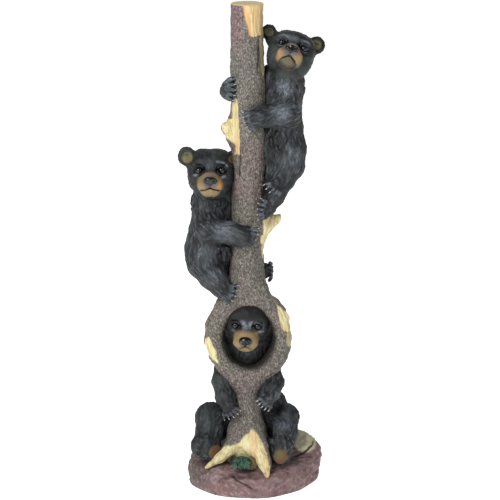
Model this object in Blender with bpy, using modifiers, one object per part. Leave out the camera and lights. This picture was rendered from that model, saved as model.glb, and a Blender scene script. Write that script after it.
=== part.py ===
"""Painted cast statue: three bear cubs on a tree trunk that grows out of a rock.

The statue is one casting, so it is one solid. Its soft masses are balls, eggs and tapered
limbs that a voxel remesh melts together. Crisp carving, such as noses, eyes, ear rims, toes
and claws, joins after the melting. Metres, +Z up, the front faces -Y, and the origin is on
the ground under the middle of the rock. The figures keep their pose as shares of the
statue's height, and paws that hold the trunk follow its bark.
"""

import math

import bmesh
import bpy
from mathutils import Matrix, Vector

MM = 0.001

# Driving sizes of the statue
HEIGHT = 610 * MM
TRUNK_RADIUS = 20 * MM
HOLE_HALF_WIDTH = 32 * MM
HOLE_HALF_HEIGHT = 38.5 * MM
ROCK_HALF_WIDTH = 84 * MM
ROCK_HALF_DEPTH = 76 * MM
ROCK_THICKNESS = 24 * MM
FACE_HALF_WIDTH = 29.5 * MM
CLAW_LENGTH = 8 * MM

# The step of the sculptor's grid, on which poses are set: 610 steps make the height
STEP = HEIGHT / 610

# How finely the form is melted and then faceted
MELT_VOXEL = 1.6 * MM
CRISP_VOXEL = 1.15 * MM
MELT_PASSES = 7
TRIANGLES = 9900

# The knothole's rim on its left and right side, from the stem above to the stem below: steps
# out in hole half widths, steps up in hole half heights, and thickness in hole half widths
LEFT_RIM = (
    (-0.10, 1.95, 0.62), (-0.50, 1.54, 0.54), (-1.02, 0.96, 0.42), (-1.34, 0.40, 0.385),
    (-1.39, -0.10, 0.377), (-1.23, -0.56, 0.36), (-0.86, -1.02, 0.35), (-0.42, -1.42, 0.39),
    (-0.10, -1.85, 0.42),
)
RIGHT_RIM = (
    (0.0, 1.95, 0.62), (0.42, 1.60, 0.54), (0.88, 1.08, 0.39), (1.19, 0.62, 0.34),
    (1.29, 0.16, 0.32), (1.25, -0.23, 0.32), (1.06, -0.66, 0.34), (0.62, -1.08, 0.37),
    (0.19, -1.48, 0.39), (-0.08, -1.85, 0.42),
)

# The bark that rounds the hole off, as a share of the hole's half width
LIP = 0.33


def grid(x, y, z):
    """A point or offset on the sculptor's grid."""
    return Vector((x, y, z)) * STEP


class Form:
    """The clay that the casting is modelled from: soft masses, and crisp carving."""

    def __init__(self):
        self.masses = bmesh.new()
        self.carving = bmesh.new()
        self.scratch = bpy.data.meshes.new("scratch")

    def press(self, clay, lump):
        """Presses a small bmesh into the clay and frees it."""
        lump.to_mesh(self.scratch)
        lump.free()
        clay.from_mesh(self.scratch)

    def ball(self, clay, centre, radius, rings=3):
        """A ball of clay."""
        lump = bmesh.new()
        pose = Matrix.Translation(centre)
        bmesh.ops.create_icosphere(lump, subdivisions=rings, radius=radius, matrix=pose)
        self.press(clay, lump)

    def egg(self, clay, centre, radii, turn=None):
        """A ball stretched to three radii, then turned by a 3x3 matrix."""
        shape = Matrix.Diagonal(Vector(radii))
        if turn:
            shape = turn @ shape
        pose = Matrix.Translation(centre) @ shape.to_4x4()
        lump = bmesh.new()
        bmesh.ops.create_icosphere(lump, subdivisions=3, radius=1, matrix=pose)
        self.press(clay, lump)

    def limb(self, clay, points, rings=3):
        """A tapered limb through (centre, radius) points: a ball at each, a cone between."""
        for centre, radius in points:
            self.ball(clay, centre, radius, rings)
        for (start, start_radius), (end, end_radius) in zip(points, points[1:]):
            along = end - start
            turn = along.to_track_quat("Z", "Y").to_matrix().to_4x4()
            lump = bmesh.new()
            bmesh.ops.create_cone(
                lump,
                cap_ends=True,
                segments=8 * rings,
                radius1=start_radius,
                radius2=end_radius,
                depth=along.length,
                matrix=Matrix.Translation((start + end) / 2) @ turn,
            )
            self.press(clay, lump)

    def mass(self, *rows):
        """A soft limb through rows of grid x, y, z and radius."""
        self.limb(self.masses, [(grid(x, y, z), r * STEP) for x, y, z, r in rows])


def turned(yaw=0, pitch=0, roll=0):
    """Degrees: yaw turns the nose to the viewer's left, pitch lifts it, roll leans right."""
    return (
        Matrix.Rotation(math.radians(-yaw), 3, "Z")
        @ Matrix.Rotation(math.radians(roll), 3, "Y")
        @ Matrix.Rotation(math.radians(-pitch), 3, "X")
    )


def squared(forward, grip):
    """Unit forward, across and grip directions, made square to each other."""
    forward = Vector(forward).normalized()
    across = forward.cross(Vector(grip)).normalized()
    return forward, across, across.cross(forward).normalized()


def trunk_centre(height):
    """The trunk's axis at a height: it wavers a little on its way up."""
    share = height / HEIGHT
    waver = -5.6 + 1.3 * math.sin(13 * share - 7.6)
    return Vector((waver * STEP, -12 * STEP * max(0.0, 1 - share / 0.45), height))


def trunk_radius(height):
    """The trunk's radius at a height, swelling above the knothole."""
    share = height / HEIGHT
    swell = math.exp(-(((share - 0.43) / 0.045) ** 2))
    waver = 0.03 * math.sin(26 * share - 1.4)
    return TRUNK_RADIUS * (1 + waver + 0.16 * swell)


def on_trunk(height, bearing, standoff):
    """A point off the bark: bearing 0 is the right side, 90 the front, 180 the left."""
    height = height * STEP
    angle = math.radians(-bearing)
    reach = trunk_radius(height) + standoff * STEP
    return trunk_centre(height) + Vector((math.cos(angle), math.sin(angle), 0)) * reach


def trunk(form):
    """The tree: a stem that parts round the knothole, flares into roots and lost its boughs."""
    fork = 268 * STEP
    heights = [fork + (HEIGHT + 20 * MM - fork) * i / 18 for i in range(19)]
    form.limb(form.masses, [(trunk_centre(z), trunk_radius(z)) for z in heights])

    hole = grid(-4.4, -10, 191)
    for rim in (LEFT_RIM, RIGHT_RIM):
        stretch = []
        for out, up, thick in rim:
            offset = Vector((out * HOLE_HALF_WIDTH, 0, up * HOLE_HALF_HEIGHT))
            stretch.append((hole + offset, thick * HOLE_HALF_WIDTH))
        form.limb(form.masses, stretch)
    lip = LIP * HOLE_HALF_WIDTH
    ring = []
    for i in range(21):
        angle = math.tau * i / 20
        reach = Vector((math.sin(angle) * (HOLE_HALF_WIDTH + lip), 0, 0))
        reach.z = math.cos(angle) * (HOLE_HALF_HEIGHT + lip)
        ring.append((hole + reach, lip))
    form.limb(form.masses, ring)
    for out, up in ((-0.3, 1.7), (0.3, 1.7), (-0.42, -1.48), (0.3, -1.5), (-0.1, -1.75)):
        offset = Vector((out * HOLE_HALF_WIDTH, 0, up * HOLE_HALF_HEIGHT))
        form.ball(form.masses, hole + offset, 0.38 * HOLE_HALF_WIDTH)

    form.mass(
        (-6.9, -13, 120, 15), (-6.9, -14, 102, 15.5), (-6.9, -15, 88, 17.5),
        (-6.9, -15, 71, 24), (-6.9, -14, 48, 28), (-6.9, -12, 24, 32),
    )
    form.mass((-14, -28, 74, 12), (-31, -34, 57, 9.5), (-47, -41, 43, 6.2), (-57.5, -46, 32, 3.2))
    form.mass((2, -32, 74, 13), (8, -44, 57, 11), (14.3, -55, 41, 8.5), (18, -63, 26, 4.6))
    form.mass((-6, -31, 72, 12), (-8, -36, 62, 12), (2, -42, 54, 10))
    form.mass((18, -4, 44, 14), (36, 12, 42, 9), (54, 10, 46, 6))
    form.mass((-26, 2, 44, 14), (-42, 16, 36, 9), (-58, 18, 30, 5))

    left = on_trunk(440, 180, 0)
    for rows in (
        ((4, 0, -14, 7), (-1, 0, 2, 9)),
        ((0, 0, 0, 9), (-5.5, -2, 14, 8)),
        ((-5.5, -2, 14, 7.5), (-3, 0, 24, 4.5), (4, 0, 42, 5)),
    ):
        form.limb(form.masses, [(left + grid(x, y, z), r * STEP) for x, y, z, r in rows])
    right = on_trunk(326, 0, 0)
    for rows in (
        ((-6, -4, -6, 10), (6, -4, 5, 9), (15, -4, 12, 8)),
        ((15, -4, 12, 8), (19, -4, 16, 5.5)),
        ((-4, -4, -26, 6), (0, -4, 0, 9)),
    ):
        form.limb(form.masses, [(right + grid(x, y, z), r * STEP) for x, y, z, r in rows])
    form.mass((26, -10, 235, 9), (36, -10, 223, 8), (43.5, -10, 212, 5), (43, -10, 190, 5.5))


def rock(form):
    """The rock under it all: a slab that rises to the back, with a mound on the right."""
    lump = bmesh.new()
    bmesh.ops.create_cone(lump, cap_ends=True, segments=48, radius1=1, radius2=0.95, depth=1)
    for vert in lump.verts:
        upper = vert.co.z > 0
        angle = math.atan2(vert.co.y, vert.co.x)
        ripple = 0.975 + 0.012 * math.sin(3 * angle + 1) + 0.012 * math.sin(8 * angle)
        vert.co.x = ROCK_HALF_WIDTH * ripple * vert.co.x + 1.5 * STEP
        vert.co.y *= ROCK_HALF_DEPTH * ripple
        vert.co.z *= ROCK_THICKNESS * 2
        if upper:
            vert.co.z += 0.1 * (vert.co.y + 60 * STEP)
    form.press(form.masses, lump)
    mounds = (
        ((46, 30, 26), (36, 40, 31)),
        ((62, 18, 20), (22, 38, 29)),
        ((-48, 12, 16), (31, 44, 23)),
        ((0, 40, 18), (58, 32, 27)),
        ((-30, -26, 14), (38, 28, 18)),
        ((34, -30, 12), (30, 26, 18)),
    )
    for centre, radii in mounds:
        form.egg(form.masses, grid(*centre), grid(*radii))


def head(form, centre, turn, left_ear=1.0):
    """A cub's head. Its shares are of half the face's width, and its nose points to -Y."""
    unit = FACE_HALF_WIDTH

    def at(x, y, z):
        return centre + turn @ (Vector((x, y, z)) * unit)

    def lump(clay, x, y, z, *radii):
        form.egg(clay, at(x, y, z), Vector(radii) * unit, turn)

    soft = form.masses
    crisp = form.carving
    lump(soft, 0, 0.10, 0.08, 0.96, 0.90, 0.88)
    lump(soft, 0, -0.40, 0.40, 0.50, 0.42, 0.40)
    lump(soft, 0, -0.84, -0.56, 0.52, 0.46, 0.40)
    lump(soft, 0, -0.74, -0.88, 0.36, 0.40, 0.24)
    form.limb(soft, [(at(0, -0.48, -0.02), 0.42 * unit), (at(0, -0.94, -0.40), 0.36 * unit)])
    lump(crisp, 0, -1.36, -0.36, 0.26, 0.16, 0.18)
    lump(crisp, 0, -0.98, -0.96, 0.30, 0.27, 0.14)
    for side in (-1, 1):
        lump(soft, side * 0.38, 0.10, 0.36, 0.54, 0.72, 0.60)
        lump(soft, side * 0.45, -0.05, -0.30, 0.49, 0.62, 0.60)
        lump(crisp, side * 0.21, -1.10, -0.60, 0.32, 0.32, 0.24)
        form.limb(soft, [
            (at(side * 0.18, -0.70, 0.36), 0.17 * unit),
            (at(side * 0.60, -0.54, 0.34), 0.15 * unit),
        ])
        form.limb(soft, [
            (at(side * 0.40, -0.66, -0.20), 0.16 * unit),
            (at(side * 0.68, -0.46, -0.10), 0.16 * unit),
        ])
        form.ball(crisp, at(side * 0.46, -0.71, 0.07), 0.155 * unit)
        size = left_ear if side < 0 else 1.0
        lump(soft, side * 0.80, 0.14, 0.50, 0.30, 0.24, 0.36)
        ear = Vector((side * 1.0, 0.10, 0.70))
        lump(crisp, *ear, 0.34 * size, 0.12, 0.34 * size)
        rim = []
        for i in range(10):
            angle = math.radians(-70 + 30 * i)
            offset = Vector((side * math.cos(angle), -0.35, math.sin(angle))) * 0.30 * size
            rim.append((at(*(ear + offset)), 0.085 * unit))
        form.limb(crisp, rim, 2)


def locks(form, centre, radii, drop, count, start, end):
    """Fur locks round a neck: tapered points on an oval, from a start to an end bearing."""
    for i in range(count):
        angle = math.radians(start + (end - start) * i / (count - 1))
        out = Vector((math.cos(angle), -math.sin(angle), 0))
        reach = Vector((out.x * radii[0], out.y * radii[1], 0)) * STEP
        sway = grid(2.5 * math.cos(5.3 * i), 0, -drop * (1 + 0.35 * math.sin(2.4 * i)))
        root = centre + reach + grid(0, 0, 5 * math.sin(3.1 * i))
        tip = root + sway + out * 1.2 * STEP
        form.limb(form.carving, [(root, 3 * STEP), (tip, 1.2 * STEP)], 1)


def paw(form, palm, size, forward, grip):
    """A paw: a flat palm, toes side by side in front, and claws that bend to the grip."""
    forward, across, grip = squared(forward, grip)
    turn = Matrix((across, forward, grip)).transposed()
    form.egg(form.masses, palm, Vector((0.95, 0.92, 0.62)) * size, turn)
    for i in range(5):
        place = i - 2
        toe = palm + across * size * 0.38 * place
        toe += forward * size * (0.74 - 0.07 * place * place)
        form.ball(form.carving, toe, 0.27 * size, 2)
        knuckle = toe + forward * size * 0.14
        bend = knuckle + (forward * 0.72 - grip * 0.16) * CLAW_LENGTH * 0.6
        tip = bend + (forward * 0.45 + grip * 0.75) * CLAW_LENGTH * 0.45
        thick = CLAW_LENGTH * 0.2
        form.limb(form.carving, [(knuckle, thick), (bend, thick * 0.85), (tip, thick * 0.4)], 1)


def sole(form, centre, turn, size):
    """A sitting cub's foot, its sole to the front, toes up, with a heel pad and claws."""

    def at(x, y, z):
        return centre + turn @ (Vector((x, y, z)) * size)

    form.egg(form.masses, centre, Vector((0.88, 0.72, 1.12)) * size, turn)
    form.egg(form.carving, at(-0.05, -0.58, -0.38), Vector((0.50, 0.22, 0.56)) * size, turn)
    for i in range(5):
        place = i - 2
        toe = at(place * 0.36, -0.30, 0.92 - 0.07 * place * place)
        form.ball(form.carving, toe, 0.27 * size, 2)
        tip = at(place * 0.40, -0.72, 1.20 - 0.08 * place * place)
        knuckle = toe + (tip - toe) * 0.35
        form.limb(form.carving, [(knuckle, CLAW_LENGTH * 0.2), (tip, CLAW_LENGTH * 0.09)], 1)


def arm(form, *rows):
    """A limb of rows whose centre is a point that may lie on the trunk."""
    form.limb(form.masses, [(centre, radius * STEP) for centre, radius in rows])


def top_cub(form):
    """The cub on the trunk's right side, hugging it with both arms and looking up."""
    pose = turned(yaw=0, pitch=36, roll=16)
    head(form, grid(45.5, 0, 547), pose, left_ear=0.8)
    locks(form, grid(43, 4, 516), (19, 19), 11, 16, -40, 150)
    form.mass(
        (43, 4, 524, 22), (42, 6, 506, 20.5), (38.5, 8, 481, 22), (38, 8, 454, 24.5),
        (40, 8, 428, 26.7), (39, 8, 411, 25.5),
    )
    form.mass((24, 10, 520, 15), (22, 10, 480, 17), (22, 10, 430, 19), (24, 6, 400, 17))
    arm(
        form,
        (grid(46, 0, 496), 16), (grid(44.6, -16, 474), 15.5),
        (on_trunk(474, 40, 10), 14), (on_trunk(472, 72, 9), 12.6), (on_trunk(471, 88, 8), 11.6),
    )
    paw(form, on_trunk(470, 94, 6), 13 * STEP, (-1, 0.12, -0.04), (0, 1, 0))
    arm(
        form,
        (grid(42, 20, 496), 15), (on_trunk(496, 300, 13), 13.5),
        (on_trunk(498, 230, 10), 12.5), (on_trunk(501, 186, 4), 12),
    )
    paw(form, on_trunk(501, 160, 3), 12.5 * STEP, (0.35, -0.9, 0), (0.9, 0.4, 0))
    form.mass(
        (41.5, 0, 411, 22.5), (36.5, -10, 392, 17), (25.5, -18, 372.5, 13), (17, -24, 362, 11),
    )
    paw(form, on_trunk(358, 58, 5), 11.5 * STEP, (-0.8, -0.5, 0), (-0.5, 0.8, 0))
    form.mass((39, 14, 406, 21.5), (33, 12, 388, 15), (25, 0, 378, 11.5))
    paw(form, on_trunk(378, 24, 4), 10.5 * STEP, (-0.55, -0.85, 0.2), (-0.85, 0.5, 0))
    form.egg(form.masses, grid(56, 28, 404), grid(9, 9, 9))


def middle_cub(form):
    """The cub on the trunk's left side, facing the viewer, one foot on the knothole's rim."""
    pose = turned(yaw=0, pitch=12, roll=0)
    head(form, grid(-51.8, -5, 401), pose)
    locks(form, grid(-52.5, 4, 366), (20, 20), 11, 16, 30, 220)
    form.mass(
        (-52, 4, 378, 22), (-52.8, 6, 360, 21.5), (-52.8, 6, 341, 23), (-54.2, 8, 319, 26),
        (-56.8, 8, 299, 28), (-56.8, 8, 284, 26.7),
    )
    form.mass((-34, 8, 385, 15), (-34, 10, 345, 18), (-36, 12, 300, 20), (-40, 10, 275, 17))
    arm(
        form,
        (grid(-58, -8, 346), 15.5), (grid(-53.7, -22, 333), 15.5),
        (on_trunk(328, 132, 12), 14.3), (on_trunk(324.5, 100, 10), 13.1), (on_trunk(322, 78, 8), 12),
    )
    paw(form, on_trunk(320, 72, 6), 13 * STEP, (1, 0.16, -0.16), (0, 1, 0))
    arm(
        form,
        (grid(-50, 22, 334), 15), (on_trunk(324, 240, 12), 13), (on_trunk(320, 300, 8), 11),
    )
    paw(form, on_trunk(320, 318, 5), 10.5 * STEP, (0.9, -0.3, 0), (-0.4, -0.9, 0))
    form.mass(
        (-60, -4, 286, 22.4), (-49, -14, 269.5, 17.4), (-37, -20, 256.5, 13), (-31, -22, 250, 11),
    )
    paw(form, grid(-28, -24, 247), 12 * STEP, (0.8, -0.15, -0.5), (0.2, 0.9, -0.4))
    form.mass((-56, 22, 277, 22), (-26, 32, 269.5, 15), (4, 28, 268, 12))
    paw(form, on_trunk(269, 340, 1), 10 * STEP, (0.5, -0.85, 0), (-0.9, -0.4, 0))
    form.egg(form.masses, grid(-72, 28, 284), grid(9, 9, 9))


def seated_cub(form):
    """The cub that sits behind the trunk, hugs it and looks out through the knothole."""
    pose = turned(yaw=4, pitch=-10, roll=2)
    head(form, grid(-5.9, -2, 211), pose)
    ruff = Vector((HOLE_HALF_WIDTH * 1.1, 17 * STEP, HOLE_HALF_HEIGHT * 1.1))
    form.egg(form.masses, grid(-4.4, 6, 191), ruff)
    form.mass((-5.8, 16, 176, 27), (-5.7, 28, 136, 31), (-5.7, 34, 96, 40), (-5.8, 36, 66, 42))
    form.mass((-33.5, 14, 134, 15), (-41, -4, 121, 13.5), (-35, -20, 112, 12.2), (-27, -31, 104, 10.6))
    paw(form, grid(-24, -35, 99), 11 * STEP, (0.4, -0.2, -0.85), (0.45, 1, 0))
    form.mass((22.5, 14, 137, 15), (30, -6, 128, 13), (23, -22, 121, 12), (15.5, -33, 116, 10.6))
    paw(form, grid(12, -36, 112), 11 * STEP, (-0.4, -0.2, -0.85), (-0.45, 1, 0))
    form.mass((-29, 24, 65, 25), (-52, -2, 80, 20), (-54.7, -18, 68, 17.4), (-56, -28, 56, 15))
    form.mass((20, 24, 65, 25), (45, -2, 80, 17), (43.4, -20, 66, 15.5), (37, -32, 54, 14))
    form.egg(form.masses, grid(-60, -30, 55), grid(19, 18, 17))
    sole(form, grid(-57, -32, 53), turned(yaw=-34, pitch=6, roll=-62), 17 * STEP)
    sole(form, grid(35.5, -38, 51), turned(yaw=-4, pitch=12, roll=6), 16 * STEP)
    form.egg(form.masses, grid(-5, 66, 58), grid(10, 9, 9))


def moss(form):
    """A tuft of moss in the arch between the two front roots."""
    centre = grid(-11, -48, 32)
    form.egg(form.masses, centre, grid(12, 9, 9))
    for i in range(9):
        angle = math.radians(10 + 20 * i)
        tip = centre + grid(math.cos(angle) * 14, -7, math.sin(angle) * 12 - 1)
        form.limb(form.carving, [(centre, 2.6 * STEP), (tip, 1.3 * STEP)], 1)


def mesh_object(name, clay, collection):
    """Turns clay into an object in a collection."""
    mesh = bpy.data.meshes.new(name)
    clay.to_mesh(mesh)
    clay.free()
    thing = bpy.data.objects.new(name, mesh)
    collection.objects.link(thing)
    return thing


def melted(thing, voxel, passes):
    """The thing's lumps melted into one skin by a voxel remesh and smoothed, as a new mesh."""
    remesh = thing.modifiers.new("Melt", "REMESH")
    remesh.mode = "VOXEL"
    remesh.voxel_size = voxel
    smooth = thing.modifiers.new("Soften", "SMOOTH")
    smooth.factor = 0.5
    smooth.iterations = passes
    graph = bpy.context.evaluated_depsgraph_get()
    mesh = bpy.data.meshes.new_from_object(thing.evaluated_get(graph))
    bpy.data.objects.remove(thing)
    return mesh


def cut(casting, name, tool, collection):
    """Cuts the casting with a tool, which is kept as an object of its own."""
    cutter = mesh_object(name + "_cutter", tool, collection)
    cutter.hide_render = True
    cutter.display_type = "WIRE"
    step = casting.modifiers.new("Cut by the " + name, "BOOLEAN")
    step.operation = "DIFFERENCE"
    step.solver = "EXACT"
    step.object = cutter


def box(low, high):
    """A box as a small bmesh."""
    pose = Matrix.Translation((low + high) / 2) @ Matrix.Diagonal(high - low).to_4x4()
    lump = bmesh.new()
    bmesh.ops.create_cube(lump, size=1, matrix=pose)
    return lump


def painted_resin():
    """The casting's paint, as one average colour: the looks come elsewhere."""
    material = bpy.data.materials.new("painted_resin")
    material.use_nodes = True
    shader = material.node_tree.nodes["Principled BSDF"]
    shader.inputs["Base Color"].default_value = (0.13, 0.12, 0.12, 1)
    shader.inputs["Roughness"].default_value = 0.5
    shader.inputs["Metallic"].default_value = 0
    return material


def main():
    for thing in list(bpy.data.objects):
        bpy.data.objects.remove(thing)
    statue = bpy.data.collections.new("bear_statue")
    cutters = bpy.data.collections.new("cutters")
    for collection in (statue, cutters):
        bpy.context.scene.collection.children.link(collection)

    form = Form()
    trunk(form)
    rock(form)
    top_cub(form)
    middle_cub(form)
    seated_cub(form)
    moss(form)

    skin = melted(mesh_object("soft_masses", form.masses, statue), MELT_VOXEL, MELT_PASSES)
    form.carving.from_mesh(skin)
    crisp = melted(mesh_object("carved_masses", form.carving, statue), CRISP_VOXEL, 1)

    casting = bpy.data.objects.new("bear_statue", crisp)
    statue.objects.link(casting)
    casting.data.materials.clear()
    casting.data.materials.append(painted_resin())
    reach = 2 * ROCK_HALF_WIDTH
    ground = box(Vector((-reach, -reach, -reach)), Vector((reach, reach, 0)))
    saw = box(Vector((-reach, -reach, HEIGHT)), Vector((reach, reach, HEIGHT + reach)))
    facets = casting.modifiers.new("Facets", "DECIMATE")
    facets.ratio = TRIANGLES / (2 * len(crisp.polygons))
    cut(casting, "ground", ground, cutters)
    cut(casting, "saw", saw, cutters)
    casting.data.shade_smooth()


main()
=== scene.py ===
"""Looks of a painted cast statue: three bear cubs on a tree trunk that grows out of a rock.

The figures are modelled as clay: soft masses melt together in a block of signed distances,
which becomes a skin of small faces. Tooled fur, bark and wood grain are strokes that follow
the form and are cut into the skin. Lengths are steps of the sculptor's grid, of which 610
make the statue's height, and a skin turns into metres when its object is made.
"""

import logging
import math
from dataclasses import dataclass, field
from enum import Enum
from typing import Any, Callable, Sequence

import bpy
import numpy as np
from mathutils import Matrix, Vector


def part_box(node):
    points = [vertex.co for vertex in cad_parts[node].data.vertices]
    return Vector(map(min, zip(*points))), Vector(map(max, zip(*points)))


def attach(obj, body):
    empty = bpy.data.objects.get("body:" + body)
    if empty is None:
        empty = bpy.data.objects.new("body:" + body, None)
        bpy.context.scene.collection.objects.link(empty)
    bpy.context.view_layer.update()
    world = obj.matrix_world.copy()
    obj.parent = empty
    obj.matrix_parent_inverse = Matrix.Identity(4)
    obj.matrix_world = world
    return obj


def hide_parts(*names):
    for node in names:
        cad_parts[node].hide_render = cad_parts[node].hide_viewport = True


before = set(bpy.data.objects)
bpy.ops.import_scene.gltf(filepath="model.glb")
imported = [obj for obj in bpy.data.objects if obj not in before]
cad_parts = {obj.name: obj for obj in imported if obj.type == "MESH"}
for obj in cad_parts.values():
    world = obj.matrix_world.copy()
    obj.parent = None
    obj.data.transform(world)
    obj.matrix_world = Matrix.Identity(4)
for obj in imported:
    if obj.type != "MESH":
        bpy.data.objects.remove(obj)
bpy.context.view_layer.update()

log = logging.getLogger("bear_statue")

NODE = "bear_statue"
BODY = "root"

# The statue's height in steps, and a step in metres as the frame gives it
HEIGHT = 610.0
STEP = (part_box(NODE)[1].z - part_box(NODE)[0].z) / HEIGHT

# How much coarser the skins are while something else is being tried
COARSE = 1.0

# How far a form's two pieces reach past the height they share, and how their edges are pressed in there
LAP = 1.6
TUCK_DEPTH = 0.5
TUCK_FROM = 1.1
TUCK_FULL = 0.3

# The distance in an empty block of clay, and the corners of a cell
FAR = 1000.0
CORNERS =np.array([(i, j, k) for i in (0, 1) for j in (0, 1) for k in (0, 1)])

Point = Sequence[float]
Rows = Sequence[tuple[float, float, float, float]]
Colour = tuple[float, float, float, float]


class Slot(Enum):
    """The material slots, by name."""

    FUR = "painted_fur"
    BARK = "painted_bark"
    ROCK = "painted_rock"
    GLOSS = "gloss_black"


def array(*values: float) -> np.ndarray:
    """A point or direction as an array."""
    return np.array(values, dtype=float)


def unit(vector: np.ndarray) -> np.ndarray:
    """The vector, or each row of vectors, at length one."""
    length = np.linalg.norm(vector, axis=-1, keepdims=True)
    return vector / np.maximum(length, 1e-9)


def ramp(value: np.ndarray, low: float, high: float, unit_size: float = 1) -> np.ndarray:
    """A smooth step from 0 at low to 1 at high, in shares of a size, or back if low is the higher."""
    share = np.clip((value / unit_size - low) / (high - low), 0, 1)
    return share * share * (3 - 2 * share)


def paint(code: str) -> Colour:
    """A paint by its six-digit display code, as a scene colour."""
    shares = [int(code[i:i + 2], 16) / 255 for i in (0, 2, 4)]
    linear = [c / 12.92 if c <= 0.04045 else ((c + 0.055) / 1.055) ** 2.4 for c in shares]
    return (linear[0], linear[1], linear[2], 1.0)


def turned(yaw: float = 0, pitch: float = 0, roll: float = 0) -> np.ndarray:
    """A rotation: yaw turns the nose to the viewer's left, pitch lifts it, roll leans right.

    Args:
        yaw: Degrees about the upright axis.
        pitch: Degrees about the axis across.
        roll: Degrees about the axis to the front.

    Returns:
        A 3x3 matrix whose columns are the turned axes.
    """
    a, b, c = math.radians(-yaw), math.radians(-pitch), math.radians(roll)
    about_z = np.array([[math.cos(a), -math.sin(a), 0], [math.sin(a), math.cos(a), 0], [0, 0, 1]])
    about_x = np.array([[1, 0, 0], [0, math.cos(b), -math.sin(b)], [0, math.sin(b), math.cos(b)]])
    about_y = np.array([[math.cos(c), 0, math.sin(c)], [0, 1, 0], [-math.sin(c), 0, math.cos(c)]])
    return about_z @ about_y @ about_x


def squared(forward: Point, grip: Point) -> tuple[np.ndarray, np.ndarray, np.ndarray]:
    """Unit forward, across and grip directions, made square to each other."""
    ahead = unit(array(*forward))
    across = unit(np.cross(ahead, array(*grip)))
    return ahead, across, unit(np.cross(across, ahead))


def laid_flat(flow: np.ndarray, normals: np.ndarray) -> np.ndarray:
    """Directions laid flat on a skin, at length one."""
    return unit(flow - normals * np.sum(flow * normals, axis=1, keepdims=True))


def tuck(height: np.ndarray, seam: float) -> np.ndarray:
    """How deep a skin is pressed in near the height of its hidden edge."""
    return TUCK_DEPTH * ramp(np.abs(height - seam), TUCK_FROM, TUCK_FULL)


def rows(*values: tuple[float, float, float, float]) -> list[tuple[np.ndarray, float]]:
    """Rows of x, y, z and radius as a limb."""
    return [(array(x, y, z), r) for x, y, z, r in values]


class Grain:
    """Seeded noise that fills space, and that can be drawn out along a flow into strokes."""

    SPAN = 64

    def __init__(self, seed: int, cell: float) -> None:
        """Fills the table.

        Args:
            seed: Makes the noise the same on every run.
            cell: The width of one grain in steps.
        """
        rng = np.random.default_rng(seed)
        self.table = rng.random((self.SPAN,) * 3, dtype=np.float32)
        self.cell = cell

    def at(self, points: np.ndarray) -> np.ndarray:
        """The noise at points, from 0 to 1."""
        spot = points / self.cell
        base = np.floor(spot).astype(np.int64)
        share = (spot - base).astype(np.float32)
        share = share * share * (3 - 2 * share)
        total = np.zeros(len(points), np.float32)
        for corner in CORNERS:
            index = (base + corner) % self.SPAN
            weight = np.prod(np.where(corner, share, 1 - share), axis=1)
            total += weight * self.table[index[:, 0], index[:, 1], index[:, 2]]
        return total

    def strokes(self, points: np.ndarray, flow: np.ndarray, length: float) -> np.ndarray:
        """Noise drawn out along a flow.

        Args:
            points: Where to read it.
            flow: The unit direction of the stroke at each point.
            length: The stroke's length in steps.

        Returns:
            Heights with a mean of 0 and a spread of about 1.
        """
        samples = max(5, int(length / self.cell) * 2 + 1)
        total = np.zeros(len(points), np.float32)
        for share in np.linspace(-1, 1, samples + 2)[1:-1]:
            total += (1 - share * share) * self.at(points + flow * (share * length / 2))
        total -= total.mean()
        return total / (total.std() + 1e-9)

    def tooling(self, points: np.ndarray, flow: np.ndarray, length: float, strength: float) -> np.ndarray:
        """Strokes along a flow as shares from 0 to 1.

        Args:
            points: Where to read them.
            flow: The unit direction of the stroke at each point.
            length: The stroke's length in steps.
            strength: How far the strokes spread round a half.

        Returns:
            A share for each point.
        """
        return np.clip(self.strokes(points, flow, length) * strength + 0.5, 0, 1)


@dataclass
class Skin:
    """A mesh in steps: points, four-sided faces and named values at the points."""

    points: np.ndarray
    faces: np.ndarray
    values: dict[str, np.ndarray] = field(default_factory=dict)

    def normals(self) -> np.ndarray:
        """The unit normal at each point, from the faces around it."""
        p = self.points[self.faces]
        face = np.cross(p[:, 2] - p[:, 0], p[:, 3] - p[:, 1])
        total = np.zeros_like(self.points)
        for axis in range(3):
            for corner in range(4):
                total[:, axis] += np.bincount(
                    self.faces[:, corner], weights=face[:, axis], minlength=len(total)
                )
        return unit(total)

    def relax(self, passes: int, factor: float = 0.5) -> None:
        """Smooths the skin by moving each point towards the middle of its neighbours.

        Args:
            passes: How many times.
            factor: How far a point goes in one pass.
        """
        ends = np.concatenate([self.faces, np.roll(self.faces, 1, axis=1)])
        starts = np.concatenate([np.roll(self.faces, -1, axis=1), self.faces])
        ends, starts = ends.ravel(), starts.ravel()
        count = np.bincount(ends, minlength=len(self.points))[:, None]
        for _ in range(passes):
            middle = np.stack([
                np.bincount(ends, weights=self.points[starts, axis], minlength=len(self.points))
                for axis in range(3)
            ], axis=1) / count
            self.points += factor * (middle - self.points)

    def build(self, name: str, material: bpy.types.Material, slot: Slot) -> bpy.types.Object:
        """Makes the skin an object that rides on the body and stands for the casting.

        Args:
            name: The piece's name.
            material: Its finish.
            slot: The material slot that the finish belongs to; not used.

        Returns:
            The new object.
        """
        mesh = bpy.data.meshes.new(name)
        mesh.from_pydata((self.points * STEP).tolist(), [], self.faces.tolist())
        for key, value in self.values.items():
            layer = mesh.attributes.new(key, "FLOAT", "POINT")
            layer.data.foreach_set("value", value.astype(np.float32))
        mesh.materials.append(material)
        mesh.shade_smooth()
        piece = bpy.data.objects.new(name, mesh)
        bpy.context.scene.collection.objects.link(piece)
        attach(piece, BODY)
        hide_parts(NODE)
        log.info("%s: %d points, %d faces", name, len(self.points), len(self.faces))
        return piece


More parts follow.
